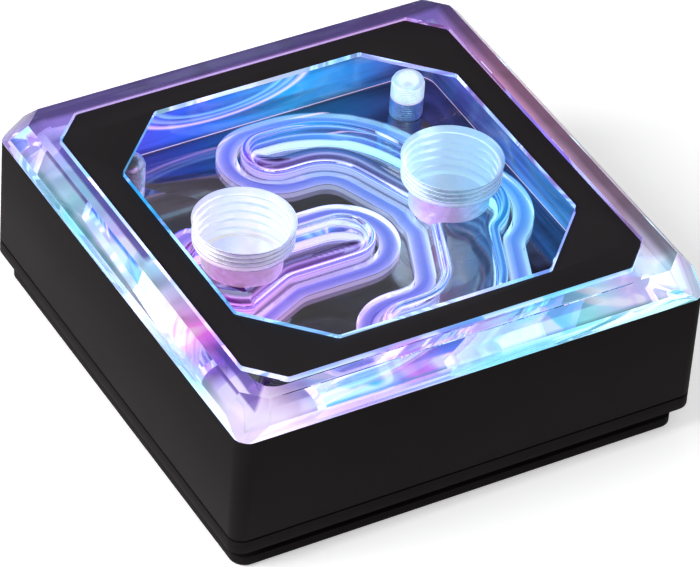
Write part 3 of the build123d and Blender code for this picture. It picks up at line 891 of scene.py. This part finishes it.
def wall_light(tree):
    """Light on the body's side walls: level streaks from violet to azure, and bowl lines at the back."""
    place = tree.place()
    x, y, z = tree.xyz(place)
    half = sizes().body_half
    along = tree.math("ADD", x, tree.math("MULTIPLY", y, 0.3))
    hue = tree.ramp(tree.span(along, -30 * MM, 32 * MM), [
        (0.0, (0.30, 0.10, 0.75)), (0.28, (0.12, 0.06, 0.85)), (0.50, (0.02, 0.14, 1.0)),
        (0.72, (0.0, 0.40, 1.0)), (0.86, (0.02, 0.28, 0.85)), (1.0, (0.08, 0.10, 0.50))])
    streak = tree.add("ShaderNodeTexNoise", {
        "Vector": tree.stretched(place, (45.0, 45.0, 300.0)), "Scale": 1.0, "Detail": 1.5,
        "Distortion": 0.6}).outputs[0]
    shade = tree.ramp(streak, greys([(0.32, 0.20), (0.47, 0.50), (0.58, 0.85), (0.66, 1.0)]))
    far = tree.math("MAXIMUM", tree.span(x, half - 4 * MM, half - MM, 0.15, 1.0),
                    tree.span(y, half - 4 * MM, half - MM, 0.15, 1.0))
    lit = tree.times(hue, tree.math("MULTIPLY", shade, far))
    at_back = tree.span(y, half - 2 * MM, half - MM)
    curved = tree.mix(at_back, (0.0, 0.0, 0.0, 1.0), bowl_lines(tree, x, z))
    foot = tree.span(z, FLOW_TOP + 0.35 * MM, FLOW_TOP + 0.15 * MM)
    return tree.mix(foot, tree.plus(lit, curved), (0.85, 0.62, 1.0, 1.0))


def bowl_lines(tree, x, z):
    """Curved lines of light that hang below the flange like nested bowls."""
    across = tree.math("DIVIDE", tree.math("ADD", x, 4 * MM), 14 * MM)
    down = tree.math("DIVIDE", tree.math("SUBTRACT", RIM_Z, z), 0.7 * (RIM_Z - FLOW_TOP))
    bowl = tree.math("SQRT", tree.math("ADD", tree.math("MULTIPLY", across, across),
                                       tree.math("MULTIPLY", down, down)))
    return tree.ramp(bowl, [
        (0.60, (0.0, 0.0, 0.0)), (0.68, (0.25, 0.45, 0.9)), (0.72, (0.0, 0.0, 0.0)),
        (0.80, (0.30, 0.35, 0.8)), (0.85, (0.0, 0.0, 0.0)), (0.93, (0.9, 0.55, 0.95)),
        (0.97, (0.10, 0.10, 0.4)), (1.0, (0.0, 0.0, 0.0))])


def seal_light(tree):
    """Light in the soft seals: deep along the crown, pale along the edges."""
    z = tree.xyz(tree.place())[2]
    hue = use_group(tree, lamp_hue_group())
    crown = tree.span(z, SEAL_TOP - 0.5 * MM, SEAL_TOP - 0.06 * MM)
    return tree.mix(crown, hue["Pale"], hue["Hue"])


# Pieces


def threaded(name, x, y, levels, radius_at, steps=96):
    """Closed turned shape whose radius depends on angle and height, for threads."""
    loops = []
    for z in levels:
        loop = []
        for k in range(steps):
            angle = 2 * math.pi * k / steps
            radius = radius_at(angle, z)
            loop.append(Vector((x + radius * math.cos(angle), y + radius * math.sin(angle), z)))
        loops.append(loop)
    return shell(name, loops)


def thread_wave(turns):
    """Rounded trapezoid wave from 0 at the crests to 1 in the roots."""
    wave = 0.5 - 0.5 * math.cos(2 * math.pi * turns)
    return min(1.0, max(0.0, 1.3 * wave - 0.15))


def flange_and_body():
    """Outside of the clear block with softened edges."""
    size = sizes()
    half = TOP_BOX[1][0]
    top = TOP_BOX[1][2]
    rim = RIM_Z + GAP
    slope = size.bevel_width / (top - RIM_Z - size.wall_height)
    low_half = half + size.wall_height * slope
    reach = 2 * half - size.flange_corner * (2 - math.sqrt(2))
    sloped = shell("sloped", [level(octagon_corners(low_half, 2 * low_half - reach), RIM_Z),
                              level(octagon_corners(half - size.bevel_width, size.facet_leg), top)])
    block = shell("clear_block", [level(square(half, size.flange_corner), rim),
                                  level(square(half, size.flange_corner), top)])
    for shape in (block, sloped):
        shape.data.materials.append(made("polished_acrylic", clear))
    combine(block, sloped, "INTERSECT")
    body_outline = square(size.body_half, size.body_corner)
    body = shell("body", [level(body_outline, FLOW_TOP + GAP), level(body_outline, rim + OVERCUT)])
    body.data.materials.append(made("polished_acrylic", clear))
    combine(block, body, "UNION")
    return soften(block, size.edge_round)


def port_cutter(name):
    """Port with its countersunk mouth, pipe thread, ledge and throat."""
    size = sizes()
    hole = mount(name)
    x, y = hole["pos_m"][:2]
    bore = hole["dims"]["r_mm"] * MM
    top = TOP_BOX[1][2]
    sink = size.mouth_radius - bore
    floor = top - sink - hole["dims"]["length_mm"] * MM
    fade = 0.8 * MM

    def radius_at(angle, z):
        if z >= top:
            return size.mouth_radius + (z - top)
        if z < floor:
            return size.throat_radius
        cone = bore + max(0.0, z - (top - sink))
        inside = min(1.0, max(0.0, (z - floor) / fade))
        turns = z / size.thread_pitch - angle / (2 * math.pi)
        return max(cone, bore + size.thread_depth * inside * thread_wave(turns))

    steps = 56
    levels = [top + OVERCUT]
    levels += [top - (top - floor) * k / steps for k in range(steps + 1)]
    levels += [floor - 0.01 * MM, FLOW_TOP + size.channel_depth - size.channel_roof]
    cutter = threaded(name, x, y, levels, radius_at)
    cutter.data.materials.append(made("frosted_thread", glowing_clear, thread_light, 0.55, glow().threads))
    return cutter


def channel_cutters(node):
    """Channel with a rounded roof and the seal groove around it, from the plan of the seal."""
    size = sizes()
    outer, inner = [even_loop(points, 0.45 * MM, SEAL_BLUR) for points in seal_outlines(node)]
    wall = offset_loop(inner, -size.seal_land - size.seal_play)
    roof = FLOW_TOP + size.channel_depth
    below = FLOW_TOP - OVERCUT
    loops = [level(wall, below), level(wall, roof - size.channel_roof)]
    steps = 8
    for k in range(1, steps + 1):
        turn = 0.5 * math.pi * k / steps
        inset = size.channel_roof * (1 - math.cos(turn))
        loops.append(level(offset_loop(wall, -inset), roof - size.channel_roof * (1 - math.sin(turn))))
    channel = shell(node + "_channel", loops)
    channel.data.materials.append(made("channel_wall", glowing_clear, channel_light, 0.03, glow().channels))
    grooves = [even_loop(points, loop_length(points) / SEAL_POINTS, SEAL_BLUR) for points in (outer, inner)]
    low, high = [offset_loop(points, side * size.seal_play) for points, side in zip(grooves, (1, -1))]
    groove_top = SEAL_TOP + 0.05 * MM
    groove = band(node + "_groove", low, aligned(low, high), below, groove_top)
    groove.data.materials.append(made("groove_wall", glowing_clear, groove_light, 0.05, glow().grooves))
    return channel, groove


def aligned(first, second):
    """Second outline turned so that its points lie beside those of the first."""
    count = len(second)
    shift = min(range(count), key=lambda s: sum(
        (first[i] - second[(i + s) % count]).length for i in range(0, count, 20)))
    return second[shift:] + second[:shift]


def screw_hole_cutter(x, y):
    """Blind hole with a fine thread and a domed end."""
    size = sizes()
    top = FLOW_TOP + size.hole_depth
    dome = size.hole_radius
    pitch = 0.7 * MM
    thread_depth = 0.16 * MM
    tip = 0.05 * MM

    def radius_at(angle, z):
        if z > top - dome:
            return max(tip, math.sqrt(max(0.0, dome ** 2 - (z - top + dome) ** 2)))
        turns = z / pitch - angle / (2 * math.pi)
        return size.hole_radius + thread_depth * thread_wave(turns) * (z < top - 1.2 * dome)

    levels = [FLOW_TOP - OVERCUT, FLOW_TOP + 0.1 * MM]
    rows = 80
    levels += [FLOW_TOP + (size.hole_depth - dome) * k / rows for k in range(1, rows + 1)]
    levels += [top - dome + dome * math.sin(0.5 * math.pi * k / 8) for k in range(1, 9)]
    cutter = threaded("screw_hole", x, y, levels, radius_at, 40)
    frosted = made("frosted_hole", glowing_clear, hole_light, 0.4, glow().holes, 1.0, hole_painted_shade)
    cutter.data.materials.append(frosted)
    return cutter


def trim_recess_cutter():
    """Octagonal ring groove that takes the trim plate."""
    size = sizes()
    top = TOP_BOX[1][2] + OVERCUT
    outer = trim_outline(size.recess_play)
    inner = window_outline(-size.recess_play)
    cutter = band("trim_recess", outer, inner, size.recess_floor, top)
    edge = made("recess_edge", glowing_clear, recess_light, 0.06, glow().recess, 1.0, recess_painted_hue)
    cutter.data.materials.append(edge)
    return cutter


def grown_octagon(half, leg, grow):
    """Octagon with rounded corners, grown outward by an even margin."""
    corners = octagon_corners(half + grow, leg + grow * (2 - math.sqrt(2)))
    return rounded_polygon(corners, sizes().trim_round, 5)


def trim_outline(grow=0.0):
    """Outside of the trim plate."""
    return grown_octagon(TRIM_BOX[1][0], sizes().trim_leg, grow)


def window_outline(grow=0.0):
    """Window of the trim plate."""
    return grown_octagon(TRIM_BOX[1][0] - sizes().trim_band, sizes().window_leg, grow)


def light_faces(block):
    """Gives the flange's underside and wall, the body's walls and the recess floor their lamp light."""
    size = sizes()
    shine = glow()
    # Each face glows with painted lamp light; the underside and the body walls also get painted shade in their
    # base colour, and the flange wall a painted light hue.
    for name, values in (
            ("flange_underside", (rim_light, 0.03, shine.rim, 1.0, rim_painted_shade)),
            ("body_wall", (wall_light, 0.14, shine.walls, 0.1, wall_painted_shade)),
            ("flange_wall", (edge_light, 0.03, shine.edge, 1.0, edge_hue)),
            ("recess_floor", (recess_floor_light, 0.05, shine.recess_floor))):
        block.data.materials.append(made(name, glowing_clear, *values))
    slots = {m.name: i for i, m in enumerate(block.data.materials)}
    for face in block.data.polygons:
        if face.material_index == slots["recess_edge"] and abs(face.normal.z) > 0.9:
            face.material_index = slots["recess_floor"]
        if face.material_index != slots["polished_acrylic"]:
            continue
        reach = max(abs(face.center.x), abs(face.center.y))
        if face.normal.z < -0.9 and abs(face.center.z - RIM_Z) < 0.2 * MM:
            face.material_index = slots["flange_underside"]
        elif abs(face.normal.z) < 0.1 and face.center.z < RIM_Z and reach > size.body_half - 0.9 * MM:
            face.material_index = slots["body_wall"]
        elif abs(face.normal.z) < 0.1 and face.center.z > RIM_Z and reach > TOP_BOX[1][0] - 0.7 * MM:
            face.material_index = slots["flange_wall"]


class WATERBLOCK_OT_clear_block(bpy.types.Operator):
    """Build the clear block with its ports, channels, seal grooves, recess and screw holes"""
    bl_idname = "waterblock.clear_block"
    bl_label = "Clear block"

    def execute(self, context):
        block = flange_and_body()
        combine(block, trim_recess_cutter(), "DIFFERENCE")
        for node in SEALS:
            for cutter in channel_cutters(node):
                combine(block, cutter, "DIFFERENCE")
        for name in PORTS:
            combine(block, port_cutter(name), "DIFFERENCE")
        half = sizes().screw_spacing / 2
        for x in (-half, half):
            for y in (-half, half):
                combine(block, screw_hole_cutter(x, y), "DIFFERENCE")
        light_faces(block)
        smooth(block)
        hand_over(block, "clear_acrylic", "top_block")
        return {"FINISHED"}


class WATERBLOCK_OT_channel_seals(bpy.types.Operator):
    """Build the two soft seals with crowned tops"""
    bl_idname = "waterblock.channel_seals"
    bl_label = "Channel seals"

    def execute(self, context):
        for node in SEALS:
            hand_over(crowned_seal(node), "seal_rubber", node)
        return {"FINISHED"}


def soft_seal(name):
    """Translucent seal that carries the lamp light."""
    material, tree, shader = new_material(name)
    tree.put(shader.inputs["Emission Color"], seal_light(tree))
    shader.inputs["Emission Strength"].default_value = glow().seals
    grainy = use_group(tree, grain_group(), Scale=3000.0)
    tree.put(shader.inputs["Base Color"], tree.ramp(grainy["Shade"], [
        (0.3, (0.30, 0.34, 0.60)), (0.7, (0.40, 0.44, 0.72))]))
    tree.put(shader.inputs["Roughness"], tree.span(grainy["Shade"], 0.3, 0.7, 0.3, 0.45))
    return material


def crowned_seal(node):
    """Seal band whose upper edges are rounded."""
    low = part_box(node)[0][2] + GAP
    high = SEAL_TOP - GAP
    outer, inner = [even_loop(points, loop_length(points) / SEAL_POINTS, SEAL_BLUR)
                    for points in seal_outlines(node)]
    inner = aligned(outer, inner)
    width = sum((a - b).length for a, b in zip(outer, inner)) / SEAL_POINTS
    crown = 0.9 * MM
    loops = [level(outer, low)]
    steps = 16
    for k in range(steps + 1):
        turn = math.pi * k / steps
        across = 0.5 * width * (1 - math.cos(turn))
        rise = high - crown * (1 - math.sin(turn))
        edge, side = (outer, -across) if 2 * k <= steps else (inner, width - across)
        loops.append(level(offset_loop(edge, side), rise))
    loops.append(level(inner, low))
    seal = shell(node + "_soft", loops, True)
    seal.data.materials.append(made("soft_seal", soft_seal))
    return smooth(seal)


class WATERBLOCK_OT_frame_parts(bpy.types.Operator):
    """Build the black frame, its base and the trim plate with softened edges"""
    bl_idname = "waterblock.frame_parts"
    bl_label = "Frame, base and trim"

    def execute(self, context):
        color = finishes()
        housing_black = made("housing_black", grained, color.black)
        trim_black = made("trim_black", grained, color.trim, 12000.0, (0.5, 0.62), 0.12)
        for node, name, material, slot, edge in (
                ("housing", "housing_shell", housing_black, "black_housing", 0.22),
                ("lower_ring", "lower_frame", housing_black, "black_ring", 0.18),
                ("base_plate", "base_cover", housing_black, "black_base", 0.15),
                ("trim_plate", "trim_cover", trim_black, "black_trim", 0.1)):
            piece = soften(node_copy(node, name), edge * MM, 2, 40)
            piece.data.materials.clear()
            piece.data.materials.append(material)
            smooth(piece, 35)
            hand_over(piece, slot, node)
        return {"FINISHED"}


# Repeated parts


def islands(node):
    """Boxes of the separate shapes in a node of the frame: lowest and highest corner of each."""
    shape = merged(node)
    boxes = []
    left = set(shape.verts)
    while left:
        group = [left.pop()]
        for vert in group:
            for edge in vert.link_edges:
                other = edge.other_vert(vert)
                if other in left:
                    left.discard(other)
                    group.append(other)
        boxes.append((tuple(min(v.co[i] for v in group) for i in range(3)),
                      tuple(max(v.co[i] for v in group) for i in range(3))))
    shape.free()
    return sorted(boxes)


def places(name, node, hanging):
    """Points where a node's shapes stand or, hanging, start at the top, with the turn of each."""
    boxes = islands(node)
    mesh = bpy.data.meshes.new(name)
    mesh.from_pydata([((low[0] + high[0]) / 2, (low[1] + high[1]) / 2, high[2] if hanging else low[2])
                      for low, high in boxes], [], [])
    turns = mesh.attributes.new("turn", "FLOAT_VECTOR", "POINT")
    for turn, (low, high) in zip(turns.data, boxes):
        along_y = high[1] - low[1] > high[0] - low[0] + 0.01 * MM
        turn.vector = (math.pi if hanging else 0.0, 0.0, math.pi / 2 if along_y else 0.0)
    return linked(name, mesh)


def repeat(name, node, shape, values, material, hanging=False):
    """Piece that repeats a shape at the places of a node's shapes, by a node tree with named sizes."""
    group = bpy.data.node_groups.new(name, "GeometryNodeTree")
    group.interface.new_socket("Geometry", in_out="INPUT", socket_type="NodeSocketGeometry")
    sockets = {label: group.interface.new_socket(label, in_out="INPUT", socket_type="NodeSocketFloat")
               for label in values}
    finish = group.interface.new_socket("Material", in_out="INPUT", socket_type="NodeSocketMaterial")
    group.interface.new_socket("Geometry", in_out="OUTPUT", socket_type="NodeSocketGeometry")
    tree = Tree(group)
    source = tree.add("NodeGroupInput").outputs
    turn = tree.add("GeometryNodeInputNamedAttribute", {"Name": "turn"},
                    data_type="FLOAT_VECTOR").outputs[0]
    many = tree.add("GeometryNodeInstanceOnPoints", {
        "Points": source["Geometry"], "Instance": shape(tree, source), "Rotation": turn}).outputs[0]
    real = tree.add("GeometryNodeRealizeInstances", {"Geometry": many}).outputs[0]
    done = tree.add("GeometryNodeSetMaterial", {
        "Geometry": real, "Material": source["Material"]}).outputs[0]
    tree.put(tree.add("NodeGroupOutput").inputs[0], done)
    piece = places(name, node, hanging)
    step = piece.modifiers.new("repeat", "NODES")
    step.node_group = group
    for label, value in values.items():
        step[sockets[label].identifier] = value
    step[finish.identifier] = material
    return smooth(plain_mesh(piece), 35)


def lifted(tree, mesh, height):
    """Mesh moved up by a height."""
    shift = tree.add("ShaderNodeCombineXYZ", {"Z": height}).outputs[0]
    return tree.add("GeometryNodeTransform", {"Geometry": mesh, "Translation": shift}).outputs[0]


def frustum(tree, low_radius, high_radius, height, sides=40):
    """Round shape that stands at the origin and may taper."""
    return tree.add("GeometryNodeMeshCone", {
        "Vertices": sides, "Radius Bottom": low_radius, "Radius Top": high_radius,
        "Depth": height}).outputs["Mesh"]


def box(tree, length, width, height):
    """Box that stands at the origin."""
    size = tree.add("ShaderNodeCombineXYZ", {"X": length, "Y": width, "Z": height}).outputs[0]
    return lifted(tree, tree.add("GeometryNodeMeshCube", {"Size": size}).outputs["Mesh"],
                  tree.math("MULTIPLY", height, 0.5))


def united(tree, *meshes):
    """Several meshes as one closed shape."""
    node = tree.add("GeometryNodeMeshBoolean", operation="UNION", solver="MANIFOLD")
    for mesh in meshes:
        tree.put(node.inputs["Mesh 2"], mesh)
    return node.outputs["Mesh"]


def cut(tree, mesh, other):
    """Mesh less another one."""
    return tree.add("GeometryNodeMeshBoolean", {"Mesh 1": mesh, "Mesh 2": other}, operation="DIFFERENCE",
                    solver="MANIFOLD").outputs["Mesh"]


def screw_shape(tree, source):
    """Screw with its head at the origin and its shank upward: chamfered head, hex socket and thread ribs."""
    edge = tree.math("MULTIPLY", source["Head height"], 0.12)
    rest = tree.math("SUBTRACT", source["Head height"], edge)
    lip = frustum(tree, tree.math("SUBTRACT", source["Head radius"], edge), source["Head radius"], edge)
    head = lifted(tree, frustum(tree, source["Head radius"], source["Neck radius"], rest), edge)
    core_radius = tree.math("MULTIPLY", source["Shank radius"], 0.86)
    core_height = tree.math("SUBTRACT", source["Length"], edge)
    core = lifted(tree, frustum(tree, core_radius, core_radius, core_height), edge)
    reach = tree.math("SUBTRACT", source["Length"], source["Head height"])
    count = tree.math("FLOOR", tree.math("DIVIDE", reach, source["Pitch"]))
    rib = frustum(tree, core_radius, source["Shank radius"], tree.math("MULTIPLY", source["Pitch"], 0.9))
    step = tree.add("ShaderNodeCombineXYZ", {"Z": source["Pitch"]}).outputs[0]
    line = tree.add("GeometryNodeMeshLine", {"Count": count, "Offset": step}).outputs[0]
    ribs = tree.add("GeometryNodeInstanceOnPoints", {
        "Points": lifted(tree, line, source["Head height"]), "Instance": rib}).outputs[0]
    ribs = tree.add("GeometryNodeRealizeInstances", {"Geometry": ribs}).outputs[0]
    hex_radius = tree.math("DIVIDE", source["Socket"], math.sqrt(3))
    socket = tree.add("GeometryNodeMeshCylinder", {
        "Vertices": 6, "Radius": hex_radius, "Depth": source["Socket"]}).outputs["Mesh"]
    return cut(tree, united(tree, lip, head, core, ribs), socket)


def lamp_shape(tree, source):
    """Square lamp body with a round cup."""
    body = box(tree, source["Width"], source["Width"], source["Height"])
    wide = tree.math("MULTIPLY", source["Width"], 0.42)
    narrow = tree.math("MULTIPLY", source["Width"], 0.30)
    cup = frustum(tree, narrow, wide, tree.math("MULTIPLY", source["Cup"], 1.05))
    return cut(tree, body, lifted(tree, cup, tree.math("SUBTRACT", source["Height"], source["Cup"])))


def lens_shape(tree, source):
    """Flat dome that sits in a lamp's cup."""
    ball = tree.add("GeometryNodeMeshUVSphere", {"Segments": 28, "Rings": 14, "Radius": source["Radius"]})
    flat = tree.add("ShaderNodeCombineXYZ", {
        "X": 1.0, "Y": 1.0, "Z": tree.math("DIVIDE", source["Height"], source["Radius"])}).outputs[0]
    return tree.add("GeometryNodeTransform", {"Geometry": ball.outputs["Mesh"], "Scale": flat}).outputs[0]


def chip_shape(tree, source):
    """Ceramic middle of a chip."""
    middle = tree.math("SUBTRACT", source["Length"], tree.math("MULTIPLY", source["End"], 2.0))
    low = tree.math("MULTIPLY", source["Height"], 0.94)
    return box(tree, middle, tree.math("MULTIPLY", source["Width"], 0.94), low)


def chip_end_shape(tree, source):
    """Two metal ends of a chip."""
    end = box(tree, source["End"], source["Width"], source["Height"])
    away = tree.math("MULTIPLY", tree.math("SUBTRACT", source["Length"], source["End"]), 0.5)
    ends = [tree.add("GeometryNodeTransform", {
        "Geometry": end, "Translation": tree.add("ShaderNodeCombineXYZ", {"X": x}).outputs[0]}).outputs[0]
        for x in (away, tree.math("MULTIPLY", away, -1.0))]
    return united(tree, *ends)


class WATERBLOCK_OT_screws(bpy.types.Operator):
    """Build the four sets of screws with sockets and threads"""
    bl_idname = "waterblock.screws"
    bl_label = "Screws"

    def execute(self, context):
        size = small_parts()
        color = finishes()
        steel = made("turned_steel", brushed_metal, color.turned_steel, (0.25, 0.4), (900, 900, 900))
        black = made("screw_black", grained, color.screw_black, 6000.0, (0.3, 0.42), 0.5)
        for name, node, slot, finish, shank, height, socket, pitch, hanging in (
                ("clamp_screws", "main_screws", "screw_steel", steel, 2.0, 1.3, size.main_socket,
                 size.main_pitch, False),
                ("base_plate_screws", "base_screws", "black_screw", black, 0.95, 0.9, size.sunk_socket,
                 size.small_pitch, False),
                ("ring_screws", "frame_screws", "black_screw", black, 1.2, 1.0, size.sunk_socket,
                 size.small_pitch, False),
                ("lamp_board_screws", "board_screws", "screw_steel", steel, 0.75, 0.8, size.board_socket,
                 size.small_pitch, True)):
            low, high = islands(node)[0]
            head = (high[0] - low[0]) / 2 - GAP
            neck = shank * MM if finish == black else head
            piece = repeat(name, node, screw_shape, {
                "Head radius": head, "Head height": height * MM, "Neck radius": neck,
                "Shank radius": shank * MM - GAP, "Length": high[2] - low[2], "Socket": socket,
                "Pitch": pitch}, finish, hanging)
            hand_over(piece, slot, node)
        return {"FINISHED"}


class WATERBLOCK_OT_lamps(bpy.types.Operator):
    """Build the lamps with their cups and lenses, and the chips beside them"""
    bl_idname = "waterblock.lamps"
    bl_label = "Lamps"

    def execute(self, context):
        size = small_parts()
        color = finishes()
        body = made("lit_body", lit_lamp, glow().lamp_bodies)
        lens = made("lit_lens", lit_lamp, glow().lamp_domes)
        ceramic = made("ceramic_tan", grained, color.ceramic, 5000.0, (0.5, 0.65), 0.4)
        tin = made("tin_ends", brushed_metal, color.tin, (0.3, 0.45), (700, 700, 700))
        low, high = islands("led_packages")[0]
        lamps = repeat("lamp_bodies", "led_packages", lamp_shape, {
            "Width": high[0] - low[0], "Height": high[2] - low[2], "Cup": size.lamp_cup}, body)
        hand_over(lamps, "lamp_white", "led_packages")
        low, high = islands("led_lenses")[0]
        domes = repeat("lamp_domes", "led_lenses", lens_shape, {
            "Radius": (high[0] - low[0]) / 2, "Height": high[2] - low[2]}, lens)
        hand_over(domes, "lamp_lens", "led_lenses")
        low, high = islands("led_capacitors")[0]
        length, width = sorted((high[0] - low[0], high[1] - low[1]), reverse=True)
        chip = {"Length": length, "Width": width, "Height": high[2] - low[2], "End": size.chip_end}
        hand_over(repeat("chip_middles", "led_capacitors", chip_shape, chip, ceramic), "chip_ceramic",
                  "led_capacitors")
        hand_over(repeat("chip_ends", "led_capacitors", chip_end_shape, chip, tin), "screw_steel")
        return {"FINISHED"}


def dress_node(node, material):
    """Gives a node of the frame a finish."""
    for slot in frame["nodes"][node].material_slots:
        slot.material = material


class WATERBLOCK_OT_inner_parts(bpy.types.Operator):
    """Give the plates, the hidden seal, the film, the board and the cable parts their finishes"""
    bl_idname = "waterblock.inner_parts"
    bl_label = "Inner parts"

    def execute(self, context):
        color = finishes()
        mirror = made("dark_mirror", brushed_metal, color.mirror, (0.06, 0.14), (60, 2500, 60))
        nickel = made("plated_copper", brushed_metal, color.nickel, (0.18, 0.30), (60, 4000, 60))
        steel = made("etched_steel", brushed_metal, color.etched_steel, (0.25, 0.4), (900, 900, 900))
        rubber = made("black_rubber", grained, color.rubber, 4000.0, (0.6, 0.75), 0.3)
        film = made("film_black", grained, color.film, 2000.0, (0.6, 0.8), 0.1)
        board = made("board_white", grained, color.board, 3000.0, (0.35, 0.5), 0.5)
        pale = made("socket_ivory", grained, color.ivory, 5000.0, (0.4, 0.55), 0.5)
        for material, nodes in (
                (mirror, ("flow_plate",)), (nickel, ("cold_plate",)), (steel, ("jet_plate",)),
                (rubber, ("cold_plate_seal", "cable_grommet")), (film, ("trim_tape",)),
                (board, ("led_board",)), (pale, ("cable_socket",))):
            for node in nodes:
                dress_node(node, material)
        return {"FINISHED"}


def lit_lamp(name, strength):
    """Lit lamp in the colour of its place."""
    material, tree, shader = new_material(name)
    tree.put(shader.inputs["Emission Color"], use_group(tree, lamp_hue_group())["Pale"])
    shader.inputs["Emission Strength"].default_value = strength
    grainy = use_group(tree, grain_group(), Scale=3000.0)
    tree.put(shader.inputs["Base Color"], tree.ramp(grainy["Shade"], [
        (0.3, (0.80, 0.80, 0.78)), (0.7, (0.88, 0.88, 0.86))]))
    return material


# Stage


class WATERBLOCK_OT_stage(bpy.types.Operator):
    """Build the floor, the lights, the world and the camera"""
    bl_idname = "waterblock.stage"
    bl_label = "Stage"

    def execute(self, context):
        build_floor()
        build_world(context.scene)
        build_lights(context.scene)
        build_camera(context.scene)
        context.scene.view_settings.view_transform = "Standard"
        return {"FINISHED"}


def build_floor():
    """Pale floor that keeps the object's shadow."""
    half = FLOOR_HALF
    plan = [(-half, -half), (half, -half), (half, half), (-half, half)]
    floor = shell("floor", [level(plan, -FLOOR_DEPTH), level(plan, CAD_BOX[0][2] - GAP)])
    material, tree, shader = new_material("pale_floor")
    shade = tree.noise(tree.place(), 3.0, 2.0)
    tree.put(shader.inputs["Base Color"], tree.ramp(shade, greys([(0.3, 0.93), (0.7, 0.96)])))
    shader.inputs["Roughness"].default_value = 0.9
    shader.inputs["Specular IOR Level"].default_value = 0.0
    path = tree.add("ShaderNodeLightPath").outputs
    seen = tree.math("MAXIMUM", path["Is Camera Ray"], path["Is Transmission Ray"])
    shader.inputs["Emission Color"].default_value = (1.0, 1.0, 1.0, 1.0)
    tree.put(shader.inputs["Emission Strength"], tree.math("MULTIPLY", seen, 0.4))
    floor.data.materials.append(material)


def build_world(scene):
    """White room under a dim ceiling: white where the camera sees it, plain soft light elsewhere."""
    world = bpy.data.worlds.new("white_room")
    world.use_nodes = True
    scene.world = world
    tree = Tree(world.node_tree)
    background = world.node_tree.nodes["Background"]
    background.inputs["Color"].default_value = (1.0, 1.0, 1.0, 1.0)
    rise = tree.xyz(tree.add("ShaderNodeTexCoord").outputs["Generated"])[2]
    room = tree.span(rise, 0.05, 0.35, 1.0, scene.block_stage.ceiling)
    path = tree.add("ShaderNodeLightPath").outputs
    mirrored = tree.math("MAXIMUM", path["Is Glossy Ray"], path["Is Transmission Ray"])
    soft = tree.add("ShaderNodeMix", {0: mirrored, 2: scene.block_stage.ambient, 3: room}).outputs[0]
    seen = tree.add("ShaderNodeMix", {0: path["Is Camera Ray"], 2: soft, 3: 1.0}).outputs[0]
    tree.put(background.inputs["Strength"], seen)


def area_light(scene, name, place, size, power):
    """Soft light that looks at the object's middle and shows in no mirror or clear piece."""
    data = bpy.data.lights.new(name, "AREA")
    data.size = size
    data.energy = power
    light = bpy.data.objects.new(name, data)
    aim = Vector(LIGHT_AIM) - Vector(place)
    light.matrix_world = Matrix.Translation(place) @ aim.to_track_quat("-Z", "Y").to_matrix().to_4x4()
    light.visible_glossy = False
    light.visible_transmission = False
    scene.collection.objects.link(light)


def build_lights(scene):
    """Key light from the left and above, and a weaker one from the front."""
    stage = scene.block_stage
    area_light(scene, "key_light", KEY_PLACE, 0.6, stage.key_power)
    area_light(scene, "fill_light", FILL_PLACE, 0.7, stage.fill_share * stage.key_power)


def build_camera(scene):
    """Camera at the viewing angle of the picture."""
    data = bpy.data.cameras.new("camera")
    data.sensor_width = 36.0
    data.lens = scene.block_stage.lens
    data.clip_end = 20.0
    camera = bpy.data.objects.new("camera", data)
    axes = Matrix((Vector(CAMERA_RIGHT), -Vector(CAMERA_DOWN), -Vector(CAMERA_AHEAD)))
    camera.matrix_world = Matrix.Translation(CAMERA_PLACE) @ axes.transposed().to_4x4()
    scene.collection.objects.link(camera)
    scene.camera = camera


class WATERBLOCK_PT_panel(bpy.types.Panel):
    """List of the water block's pieces"""
    bl_idname = "WATERBLOCK_PT_panel"
    bl_label = "Water block"
    bl_space_type = "VIEW_3D"
    bl_region_type = "UI"
    bl_category = "Water block"

    def draw(self, context):
        for step in STEPS:
            self.layout.operator(step.bl_idname)


STEPS = (WATERBLOCK_OT_clear_block, WATERBLOCK_OT_channel_seals, WATERBLOCK_OT_frame_parts,
         WATERBLOCK_OT_screws, WATERBLOCK_OT_lamps, WATERBLOCK_OT_inner_parts, WATERBLOCK_OT_stage)
GROUPS = {"block_sizes": BlockSizes, "block_small_parts": SmallPartSizes, "block_finishes": Finishes,
          "block_glow": GlowStrengths, "block_stage": StageSizes}
CLASSES = (*GROUPS.values(), *STEPS, WATERBLOCK_PT_panel)


def register():
    """Registers the classes and puts the property groups on the scene."""
    for cls in CLASSES:
        bpy.utils.register_class(cls)
    for name, group in GROUPS.items():
        setattr(bpy.types.Scene, name, PointerProperty(type=group))


def unregister():
    """Takes the property groups off the scene and unregisters the classes."""
    for name in reversed(GROUPS):
        delattr(bpy.types.Scene, name)
    for cls in reversed(CLASSES):
        bpy.utils.unregister_class(cls)


def main():
    """Builds every piece in order."""
    register()
    for step in STEPS:
        group, name = step.bl_idname.split(".")
        getattr(getattr(bpy.ops, group), name)()


if __name__ == "__main__":
    main()
